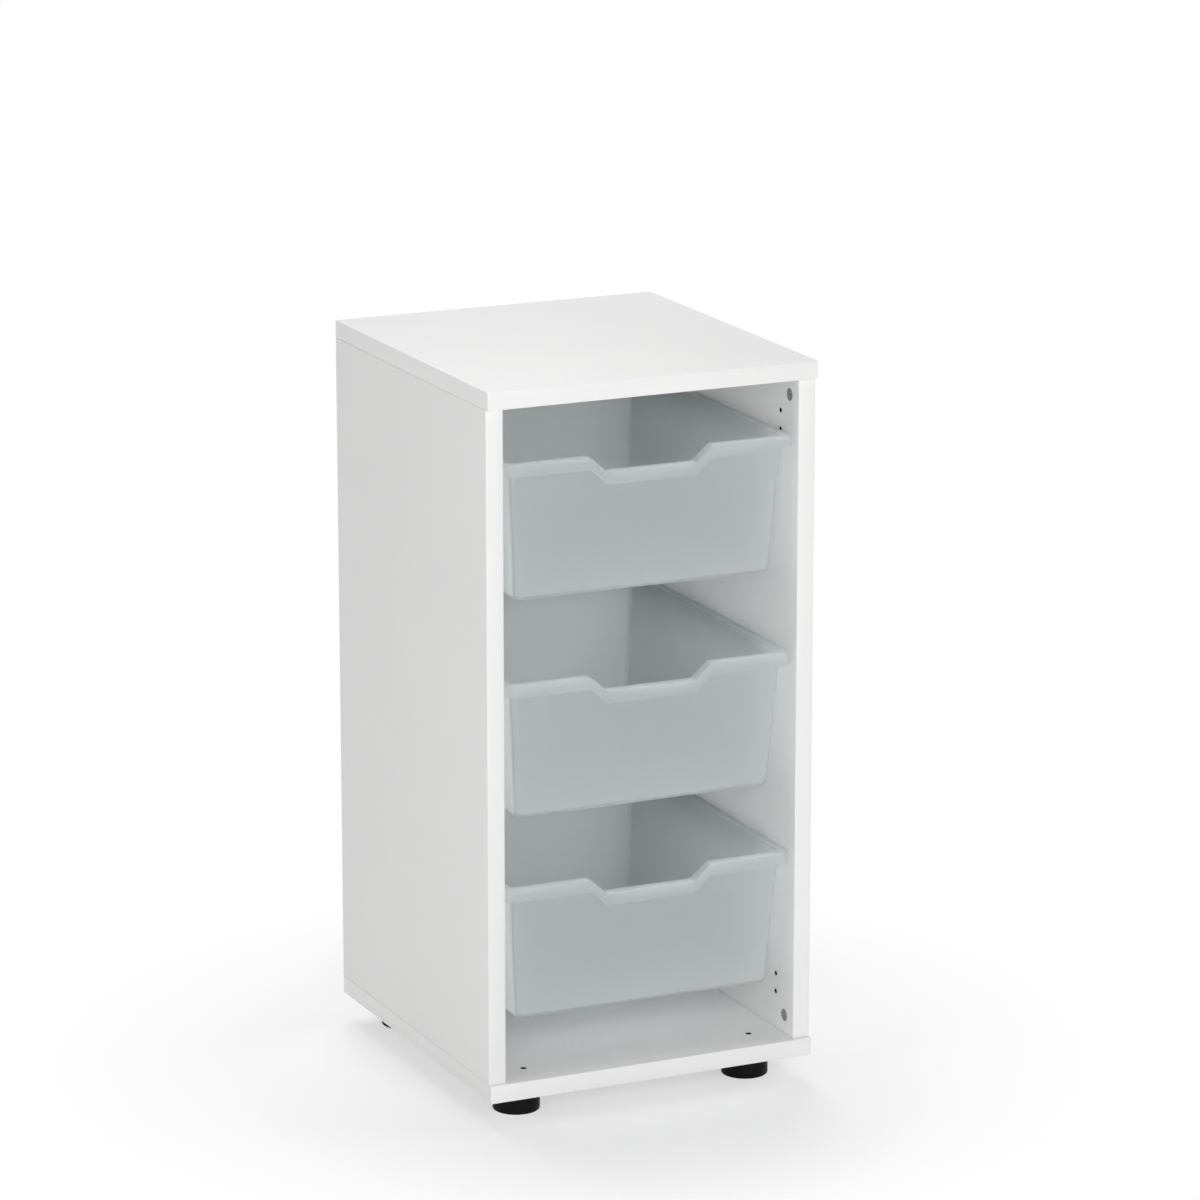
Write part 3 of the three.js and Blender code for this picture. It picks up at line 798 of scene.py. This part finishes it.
FRONT_ZONE = cavity_front + 2.5 * MM
CUT_DEPTH = 34 * MM
pick("FACE", lambda spot, way: spot.y < FRONT_ZONE)
bpy.ops.mesh.bisect(plane_co=(0, 0, rim_z - CUT_DEPTH), plane_no=(0, 0, 1))
stations = []
for corner in (NOTCH_TOP, NOTCH_BOTTOM):
    stations += [corner + NOTCH_ROUND * step / 4 for step in range(-4, 5)]
stations = sorted({round(sign * x, 6) for x in stations for sign in (-1, 1)})
for x in stations:
    pick("FACE", lambda spot, way: spot.y < FRONT_ZONE and spot.z > rim_z - CUT_DEPTH)
    bpy.ops.mesh.bisect(plane_co=(x, 0, 0), plane_no=(1, 0, 0))

for x in stations:
    dip = notch_dip(x)
    if dip < 1e-7:
        continue
    pick("VERT", lambda spot, way: abs(spot.x - x) < NEAR and spot.y < cavity_front - 2 * MM
         and spot.z > rim_z - SKIRT - MM)
    bpy.ops.transform.translate(value=(0, 0, -dip))
    pick("VERT", lambda spot, way: abs(spot.x - x) < NEAR and spot.z > rim_z - 3 * MM
         and cavity_front - 2 * MM <= spot.y < FRONT_ZONE)
    bpy.ops.transform.translate(value=(0, dip * DRAFT, -dip))
print("notch columns:", len(stations))

# %% [markdown]
# ### Wall, edge marks and painted shade
#
# The open surface now gets its wall, and the free edges are eased. Then each face is marked with
# how much its colours are dimmed. Flat faces get nothing. The rounded edges at the floor and the
# rim get most, for the longer path of the light through the plastic. The rest is painted shade: the
# rounded sides of the two front corners, which from in front are seen edge on, get a thin dark line
# as if in the shadow of the side boards, and the whole flange with its skirt is dimmed a little,
# and its rounded upper edges more, as if shaded by the board above.

# %% Give the tray its wall
close(tray, "tray_top_shell", angle=40)
apply(tray, "SOLIDIFY", thickness=WALL, offset=-1, use_even_offset=True)
ease_edges(tray, 0.5 * MM, 60)
bpy.ops.object.mode_set(mode="EDIT")
close(tray, "tray_top_shell", angle=40)
tray.data.materials.append(frosted)
print("tray:", len(tray.data.polygons), "faces")

# %% Mark the edges, and the painted shade on the flange and front corners
FLAT = 0.985
DIAGONAL = 0.75
# These three are painted shade: they dim the front corners and the flange as if shaded by the
# boards.
FRONT_CORNER_SHADE = 0.2
FRONT_CORNER_SIDE_SHADE = 0.85
FLANGE_SHADE = 0.15


def on_flange(spot):
    """True on the flange and its skirt, outside the cavity's wall."""
    return (abs(spot.x) > cavity_x + WALL + MM or spot.y < cavity_front - WALL - MM
            or spot.y > cavity_back + WALL + MM)


def edge_and_shade_mark(spot, way):
    """How much a face with this middle and normal is dimmed, 0 to 1: at rounded edges for light
    lost in the plastic, and as painted shade on the flange and front corners.
    """
    straightness = max(abs(part) for part in way)
    turn = min(max((FLAT - straightness) / (FLAT - DIAGONAL), 0), 1) ** 0.5
    if on_flange(spot):
        return max(turn if way.z > 0.1 else 0, FLANGE_SHADE)
    if abs(way.z) >= 0.2:
        return turn
    # Painted shade: only the front corners are dimmed, and the back ones are left as they are.
    if spot.y > 0:
        return 0
    return turn * (FRONT_CORNER_SIDE_SHADE if abs(way.x) > abs(way.y) else FRONT_CORNER_SHADE)


edge_and_shade_marks = tray.data.attributes.new("edge", "FLOAT", "FACE")
for face, mark in zip(tray.data.polygons, edge_and_shade_marks.data):
    mark.value = edge_and_shade_mark(face.center, face.normal)
print("faces marked as edges:", sum(mark.value > 0.3 for mark in edge_and_shade_marks.data))

# %% Three trays
for level in LEVELS[1:]:
    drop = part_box(f"tray_{level}")[1].z - rim_z
    twin = copy_of(tray, f"tray_{level}_shell", move=(0, 0, drop))
    place(twin, f"tray_{level}", "frosted_plastic", f"tray_{level}")
place(tray, "tray_top", "frosted_plastic", "tray_top")

# %% [markdown]
# ## Runners
#
# Each tray hangs by its flange from a pair of runners: an angle of pale plastic, held by three pegs
# that press into the side board. Two blocks joined would leave a seam. Here the leg is a block, and
# a cut along it marks off the strip that is pulled out as the ledge. The front corners are rounded
# far enough to lead a tray in.

# %% Runner
RUNNER_THICK = 2.5 * MM
LEDGE = 8.7 * MM
LEAD_IN = 5 * MM
LEG_ROUND = 6 * MM

runner_low, runner_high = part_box("runner_right_top")
ledge_top = runner_high.z
leg_out = inner_x - GAP
rail = add_block((leg_out - RUNNER_THICK, runner_low.y, runner_low.z),
                 (leg_out, runner_high.y, ledge_top))
bpy.ops.mesh.select_all(action="SELECT")
bpy.ops.mesh.bisect(plane_co=(0, 0, ledge_top - RUNNER_THICK), plane_no=(0, 0, 1))
pick("FACE", lambda spot, way: way.x < -0.9 and spot.z > ledge_top - RUNNER_THICK)
pull(RUNNER_THICK - LEDGE, 0, 0)
pick("EDGE", lambda spot, way: abs(way.z) > 0.9 and spot.x < leg_out - LEDGE + 0.1 * MM
     and spot.y < runner_low.y + 0.1 * MM)
round_over(LEAD_IN, 6)
pick("EDGE", lambda spot, way: abs(way.x) > 0.9 and spot.z < runner_low.z + 0.1 * MM
     and spot.y < runner_low.y + 0.1 * MM)
round_over(LEG_ROUND, 6)
close(rail, "runner_right_top_rail")
ease_edges(rail, 0.35 * MM, 50)
print("runner:", len(rail.data.polygons), "faces")

# %% Runner pegs
pegs = []
for y, z in peg_places("runner_right_top"):
    root, tip = leg_out - RUNNER_THICK / 2, runner_high.x
    peg = add(bpy.ops.mesh.primitive_cylinder_add, vertices=SMALL, radius=PEG_RADIUS,
              depth=tip - root, location=((root + tip) / 2, y, z), rotation=(0, QUARTER_TURN, 0))
    pick("FACE", lambda spot, way: way.x > 0.9)
    round_over(0.7 * MM, 2)
    pegs.append(close(peg, "peg"))
weld(rail, pegs)
rail.data.materials.append(runner_plastic)
print("pegs:", len(pegs))

# %% Six runners
for side in SIDES:
    flip = (0,) if side == "left" else ()
    for level in LEVELS:
        if (side, level) != ("right", "top"):
            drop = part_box(f"runner_{side}_{level}")[1].z - ledge_top
            twin = copy_of(rail, f"runner_{side}_{level}_rail", (0, 0, drop), flip)
            place(twin, "cabinet", "runner_plastic", f"runner_{side}_{level}")
place(rail, "cabinet", "runner_plastic", "runner_right_top")

# %% [markdown]
# ## Cam discs and screws
#
# A cam disc is a die-cast drum with a cross recess for a screwdriver, set just below the board's
# face. It grips the head of a bolt through a bore across it. The disc starts as a cylinder that
# lies on its side. Its rim is eased, its face is dished inside a narrow ring by insets, and the
# recess and the bore are cut. It is modelled once at the origin, looking left, and copied into all
# eight places.

# %% Cam disc
CAM_DEPTH = 12.2 * MM
CAM_BORE = 3.6 * MM
BOLT_LINE = 8.8 * MM
RING = 0.8 * MM
DISH = 0.4 * MM

cam = add(bpy.ops.mesh.primitive_cylinder_add, vertices=FINE, radius=CAM_RADIUS, depth=CAM_DEPTH,
          location=(CAM_DEPTH / 2, 0, 0), rotation=(0, QUARTER_TURN, 0))
pick("FACE", lambda spot, way: way.x < -0.9)
bpy.ops.mesh.inset(thickness=RING)
bpy.ops.mesh.inset(thickness=0.3 * MM, depth=-DISH)
bpy.ops.mesh.inset(thickness=1.5 * MM)
bpy.ops.mesh.inset(thickness=0.3 * MM, depth=0.25 * MM)
pick("EDGE", lambda spot, way: abs(way.x) < 0.1
     and math.hypot(spot.y, spot.z) > CAM_RADIUS - 0.05 * MM)
round_over(0.35 * MM, 2)
close(cam, "cam_disc")
cam.data.materials.append(cast_zinc)
cut(cam, cross_recess((-0.15 * MM, 0, 0), (2.4 * MM, 0, 0), 7 * MM, 1.5 * MM)
    + [cutter_rod(CAM_BORE, (BOLT_LINE, 0, -CAM_BORE), (BOLT_LINE, 0, CAM_RADIUS + MM))], cast_zinc)
print("cam disc:", len(cam.data.polygons), "faces")

# %% Eight cam discs
for side, sx in SIDES.items():
    for end, sz in ENDS.items():
        for place_name in PLACES:
            node = f"cam_{side}_{end}_{place_name}"
            low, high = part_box(node)
            face = low.x if sx > 0 else high.x
            flip = [axis for axis, sign in ((0, sx), (2, sz)) if sign < 0]
            twin = copy_of(cam, node + "_disc", (face, middle(node).y, middle(node).z), flip)
            place(twin, "cabinet", "cast_zinc", node)
bpy.data.objects.remove(cam)

# %% [markdown]
# ## Screws of the back board
#
# These are countersunk. A profile spun round an axis would make one too. Here a cylinder is the
# shank, its ends are pulled out and scaled to the head and the point, and the head gets its cross
# recess.

# %% Back screw
SCREW_RADIUS = 1.6 * MM
SCREW_HEAD = 3.4 * MM
SCREW_LENGTH = 22 * MM
HEAD_HEIGHT = 2.6 * MM
HEAD_SPREAD = SCREW_HEAD / SCREW_RADIUS
POINT_SPREAD = 0.06

shank = SCREW_LENGTH - HEAD_HEIGHT - SCREW_RADIUS
screw = add(bpy.ops.mesh.primitive_cylinder_add, vertices=SMALL, radius=SCREW_RADIUS, depth=shank,
            location=(0, -HEAD_HEIGHT - shank / 2, 0), rotation=(QUARTER_TURN, 0, 0))
pick("FACE", lambda spot, way: way.y > 0.9)
pull(0, HEAD_HEIGHT, 0)
bpy.ops.transform.resize(value=(HEAD_SPREAD, 1, HEAD_SPREAD), center_override=(0, 0, 0))
bpy.ops.mesh.inset(thickness=0.3 * MM)
pick("FACE", lambda spot, way: way.y < -0.9)
pull(0, -SCREW_RADIUS, 0)
bpy.ops.transform.resize(value=(POINT_SPREAD, 1, POINT_SPREAD),
                         center_override=(0, -SCREW_LENGTH, 0))
pick("EDGE", lambda spot, way: spot.y > -NEAR
     and math.hypot(spot.x, spot.z) > SCREW_HEAD - 0.05 * MM)
round_over(0.15 * MM, 2)
close(screw, "back_screw")
screw.data.materials.append(plated_steel)
cut(screw, cross_recess((0, 0, 0), (0, -1.9 * MM, 0), 3.7 * MM, 0.95 * MM), plated_steel)
print("screw:", len(screw.data.polygons), "faces")

# %% Six screws
for node in SCREW_NODES:
    x, _, z = middle(node)
    twin = copy_of(screw, node + "_turned", (x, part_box(node)[1].y, z))
    place(twin, "cabinet", "screw_steel", node)
bpy.data.objects.remove(screw)

# %% [markdown]
# ## Levelling feet
#
# A foot is two black mouldings and a screw. The housing is a round plate under the bottom board,
# with a guide ring below and two pins that press up into the board. The cup slides on the ring, and
# the screw, reached with a key through the board, winds it down. All three are made for the front
# left foot about the origin, and flipped for the others.

# %% Foot sizes
FOOT_RADIUS = 23.6 * MM
FOOT_WALL = 2.4 * MM
SOLE = 3 * MM
SLIDE_GAP = 0.35 * MM
GUIDE_WALL = 1.8 * MM
PLATE = 2.9 * MM
COLLAR = 2.6 * MM
COLLAR_GAP = 0.5 * MM
BOSS_GAP = 2.7 * MM
BORE_RADIUS = 3.25 * MM
BOSS_RADIUS = 5.25 * MM

cup_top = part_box("foot_cup_front_left")[1].z
plate_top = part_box("bottom_panel")[0].z - GAP
plate_bottom = plate_top - PLATE
guide_bottom, pin_top = (corner.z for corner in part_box("foot_housing_front_left"))
collar_bottom = plate_bottom - COLLAR_GAP - COLLAR
screw_x, screw_y, _ = middle("foot_screw_front_left") - middle("foot_cup_front_left")
print("foot:", 2 * FOOT_RADIUS, "across, screw off centre by", math.hypot(screw_x, screw_y))


def add_upright(radius, low, high, sides, x=0, y=0):
    """An upright cylinder between two heights, left open in edit mode."""
    return add(bpy.ops.mesh.primitive_cylinder_add, vertices=sides, radius=radius,
               depth=high - low, location=(x, y, (low + high) / 2))


def screw_bore(low, high):
    """A cutter for the bore that the foot's screw passes through."""
    return cutter_rod(BORE_RADIUS, (screw_x, screw_y, low), (screw_x, screw_y, high))


def round_rim(radius, z, offset, segments):
    """Rounds the round edges of the open piece that have this radius and height."""
    pick("EDGE", lambda spot, way: abs(way.z) < 0.1 and abs(spot.z - z) < 0.02 * MM
         and abs(math.hypot(spot.x, spot.y) - radius) < 0.1 * MM)
    round_over(offset, segments)


# %% [markdown]
# ### Cup
#
# The cup is one cylinder whose top is inset and pushed down to the sole, and whose underside gets a
# shallow dish. The boss for the screw is off the middle, so it can't come from insets. It is welded
# on and then bored.

# %% Foot cup
cup = add_upright(FOOT_RADIUS, 0, cup_top, 2 * FINE)
pick("FACE", lambda spot, way: way.z > 0.9)
bpy.ops.mesh.inset(thickness=FOOT_WALL)
pull(0, 0, SOLE - cup_top)
pick("FACE", lambda spot, way: way.z < -0.9)
bpy.ops.mesh.inset(thickness=4 * MM)
bpy.ops.mesh.inset(thickness=0.8 * MM, depth=-0.8 * MM)
round_rim(FOOT_RADIUS, 0, 1.6 * MM, 6)
round_rim(FOOT_RADIUS, cup_top, 0.4 * MM, 3)
round_rim(FOOT_RADIUS - FOOT_WALL, cup_top, 0.3 * MM, 2)
close(cup, "foot_cup")
boss = cutter_rod(BOSS_RADIUS, (screw_x, screw_y, SOLE - MM),
                  (screw_x, screw_y, collar_bottom - BOSS_GAP))
weld(cup, [boss])
cup.data.materials.append(foot_plastic)
cut(cup, [screw_bore(SOLE, cup_top)], foot_plastic)
print("cup:", len(cup.data.polygons), "faces")

# %% [markdown]
# ### Housing
#
# The housing is made in the same way, from the plate down: the middle is pulled down as the guide,
# and an inset in it is pushed back up, which leaves a ring that slides in the cup. The pins are
# cylinders with eased tips, welded on.

# %% Foot housing
housing = add_upright(FOOT_RADIUS, plate_bottom, plate_top, 2 * FINE)
guide_radius = FOOT_RADIUS - FOOT_WALL - SLIDE_GAP
pick("FACE", lambda spot, way: way.z < -0.9)
bpy.ops.mesh.inset(thickness=FOOT_RADIUS - guide_radius)
pull(0, 0, guide_bottom - plate_bottom)
bpy.ops.mesh.inset(thickness=GUIDE_WALL)
pull(0, 0, plate_bottom - guide_bottom)
round_rim(FOOT_RADIUS, plate_bottom, 0.35 * MM, 3)
round_rim(FOOT_RADIUS, plate_top, 0.35 * MM, 3)
round_rim(guide_radius, guide_bottom, 0.5 * MM, 3)
close(housing, "foot_housing")
pins = []
for pin_x in (-PIN_ACROSS, PIN_ACROSS):
    pin = add_upright(PIN_RADIUS, plate_top - MM, pin_top, SMALL, pin_x, PIN_ALONG)
    pick("FACE", lambda spot, way: way.z > 0.9)
    round_over(0.9 * MM, 3)
    pins.append(close(pin, "pin"))
weld(housing, pins)
housing.data.materials.append(foot_plastic)
cut(housing, [screw_bore(plate_bottom - MM, plate_top + MM)], foot_plastic)
print("housing:", len(housing.data.polygons), "faces")

# %% [markdown]
# ### Foot screw
#
# The screw hangs from a collar. Its thread is left plain, because it is hidden in every position.
# The top face is scaled and pulled up in turn: out to the collar, up, in to the neck and up again.
# Last comes the socket for the key, cut with a rod of six sides.

# %% Foot screw
THREAD_RADIUS = 2.95 * MM
COLLAR_RADIUS = 4.9 * MM
SOCKET_RADIUS = 1.7 * MM
SOCKET_DEPTH = 2.6 * MM

screw_low, screw_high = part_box("foot_screw_front_left")
foot_screw = add_upright(THREAD_RADIUS, screw_low.z, collar_bottom, SMALL)
out, neck = COLLAR_RADIUS / THREAD_RADIUS, screw_high.z - collar_bottom - COLLAR
for height, spread in ((0, out), (COLLAR, 1), (0, 1 / out), (neck, 1)):
    pick("FACE", lambda spot, way: way.z > 0.9 and spot.z > collar_bottom - 0.1 * MM
         and spot.xy.length < 0.1 * MM)
    pull(0, 0, height)
    bpy.ops.transform.resize(value=(spread, spread, 1), center_override=(0, 0, 0))
pick("FACE", lambda spot, way: way.z < -0.9 and spot.z < screw_low.z + 0.1 * MM)
round_over(1 * MM, 2)
close(foot_screw, "foot_screw")
foot_screw.data.materials.append(plated_steel)
cut(foot_screw, [cutter_rod(SOCKET_RADIUS, (0, 0, screw_high.z - SOCKET_DEPTH),
                            (0, 0, screw_high.z + MM), 6)], plated_steel)
print("foot screw:", len(foot_screw.data.polygons), "faces")

# %% Four feet
for foot in FEET:
    mirrored = {0: foot.endswith("right"), 1: foot.startswith("back")}
    flip = [axis for axis in mirrored if mirrored[axis]]
    x, y, _ = middle(f"foot_cup_{foot}")
    place(copy_of(cup, f"foot_cup_{foot}_moulding", (x, y, 0), flip),
          f"foot_cup_{foot}", "foot_plastic", f"foot_cup_{foot}")
    place(copy_of(housing, f"foot_housing_{foot}_moulding", (x, y, 0), flip),
          "cabinet", "foot_plastic", f"foot_housing_{foot}")
    x, y, _ = middle(f"foot_screw_{foot}")
    place(copy_of(foot_screw, f"foot_screw_{foot}_turned", (x, y, 0), flip),
          f"foot_screw_{foot}", "screw_steel", f"foot_screw_{foot}")
for pattern in (cup, housing, foot_screw):
    bpy.data.objects.remove(pattern)

# %% [markdown]
# ## Finish of the measured pieces that stay
#
# The bolts and dowels stay hidden in the boards, so a finer shape would gain nothing. They keep
# that of the measured model and only get their finish.

# %% Fittings that keep their shape
FINISHES = {"cam_bolt": plated_steel, "dowel": beech}
for name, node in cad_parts.items():
    for start, finish in FINISHES.items():
        if name.startswith(start):
            node.data.materials.clear()
            node.data.materials.append(finish)
            print(name, "in", finish.name)

# %% [markdown]
# ## Studio
#
# A plain white floor under soft light, as in a catalogue. The camera sees the floor fade to pure
# white away from the cabinet, so that no horizon shows, while close by it keeps the cabinet's
# shadow. A curved backdrop would hide the horizon too, but with a shading of its own. The fade is
# only for what looks at the floor: the light that falls on the cabinet meets plain white.

# %% Rays that look at the studio
def looking_rays(tree):
    """1 for a ray from the camera, a mirror or through glass, and 0 for light that is scattered."""
    rays = tree.nodes.new("ShaderNodeLightPath")
    seen = rays.outputs["Is Camera Ray"]
    for kind in ("Is Glossy Ray", "Is Transmission Ray"):
        either = tree.nodes.new("ShaderNodeMath")
        either.operation = "MAXIMUM"
        tree.links.new(seen, either.inputs[0])
        tree.links.new(rays.outputs[kind], either.inputs[1])
        seen = either.outputs[0]
    return seen


# %% Floor
FADE_START = 0.25
FADE_END = 0.57
LEAST_WHITE = 0.5
FLOOR_SIZE = 60

bpy.ops.object.select_all(action="DESELECT")
bpy.ops.mesh.primitive_plane_add(size=FLOOR_SIZE)
floor = bpy.context.object
floor.name = "studio_floor"
floor_material = bpy.data.materials.new("studio_floor")
floor_material.use_nodes = True
tree = floor_material.node_tree
floor_shader = tree.nodes["Principled BSDF"]
floor_shader.inputs["Base Color"].default_value = (1, 1, 1, 1)
floor_shader.inputs["Roughness"].default_value = 1
floor_shader.inputs["Specular IOR Level"].default_value = 0

place_on_floor = tree.nodes.new("ShaderNodeTexCoord")
distance = tree.nodes.new("ShaderNodeVectorMath")
distance.operation = "LENGTH"
fade = tree.nodes.new("ShaderNodeMapRange")
fade.interpolation_type = "SMOOTHSTEP"
fade.inputs["From Min"].default_value = FADE_START
fade.inputs["From Max"].default_value = FADE_END
fade.inputs["To Min"].default_value = LEAST_WHITE
faded = tree.nodes.new("ShaderNodeMath")
faded.operation = "MULTIPLY"
white = tree.nodes.new("ShaderNodeEmission")
white.inputs["Color"].default_value = (1, 1, 1, 1)
mix = tree.nodes.new("ShaderNodeMixShader")
tree.links.new(place_on_floor.outputs["Object"], distance.inputs[0])
tree.links.new(distance.outputs["Value"], fade.inputs["Value"])
tree.links.new(fade.outputs["Result"], faded.inputs[0])
tree.links.new(looking_rays(tree), faded.inputs[1])
tree.links.new(faded.outputs[0], mix.inputs["Fac"])
tree.links.new(floor_shader.outputs["BSDF"], mix.inputs[1])
tree.links.new(white.outputs["Emission"], mix.inputs[2])
tree.links.new(mix.outputs["Shader"], tree.nodes["Material Output"].inputs["Surface"])
floor.data.materials.append(floor_material)
print("floor fades from", FADE_START, "m to", FADE_END, "m")

# %% [markdown]
# ### Light
#
# The world gives a little light from all round, and is plain white to the camera. The rest comes
# from large soft panels. Two stand in front, close to the camera's own direction, because only
# light from there reaches the inside of an open-fronted cabinet. One behind and above lights the
# top board, and one on each side softens the shadows. They stand well away, so that a tray that is
# pulled out gets hardly more light than one that is in.

# %% World
WORLD_LIGHT = 0.1

world = bpy.data.worlds.new("studio")
bpy.context.scene.world = world
world.use_nodes = True
tree = world.node_tree
background = tree.nodes["Background"]
background.inputs["Color"].default_value = (1, 1, 1, 1)
strength = tree.nodes.new("ShaderNodeMapRange")
strength.inputs["To Min"].default_value = WORLD_LIGHT
strength.inputs["To Max"].default_value = 1.0
tree.links.new(looking_rays(tree), strength.inputs["Value"])
tree.links.new(strength.outputs["Result"], background.inputs["Strength"])
print("world light:", WORLD_LIGHT)

# %% Lamps
AIM = Vector((0, 0, 0.35))
LAMP_DISTANCE = 8.0


def panel_lamp(name, turn, rise, size, power):
    """A square soft light aimed at the cabinet, turned from its front and raised by degrees."""
    turn, rise = math.radians(turn), math.radians(rise)
    way = Vector((math.cos(rise) * math.sin(turn), -math.cos(rise) * math.cos(turn),
                  math.sin(rise)))
    data = bpy.data.lights.new(name, "AREA")
    data.shape = "SQUARE"
    data.size = size
    data.energy = power
    lamp = bpy.data.objects.new(name, data)
    lamp.location = AIM + LAMP_DISTANCE * way
    lamp.rotation_euler = (-way).to_track_quat("-Z", "Y").to_euler()
    bpy.context.scene.collection.objects.link(lamp)
    print(name, power, "W")


panel_lamp("front_panel", 0, 18, 4.4, 202)
panel_lamp("camera_side_panel", -24.9, 15, 3.9, 158)
panel_lamp("left_panel", -80, 25, 4.4, 126)
panel_lamp("right_panel", 80, 35, 4.4, 114)
panel_lamp("high_back_panel", 172, 50, 5.3, 354)

# %% [markdown]
# ## View
#
# The Standard view shows a colour about as it is written, where a film-like one would grey the
# boards.

# %% Plain view settings
bpy.context.scene.view_settings.view_transform = "Standard"
print("lamps:", len(bpy.data.lights))
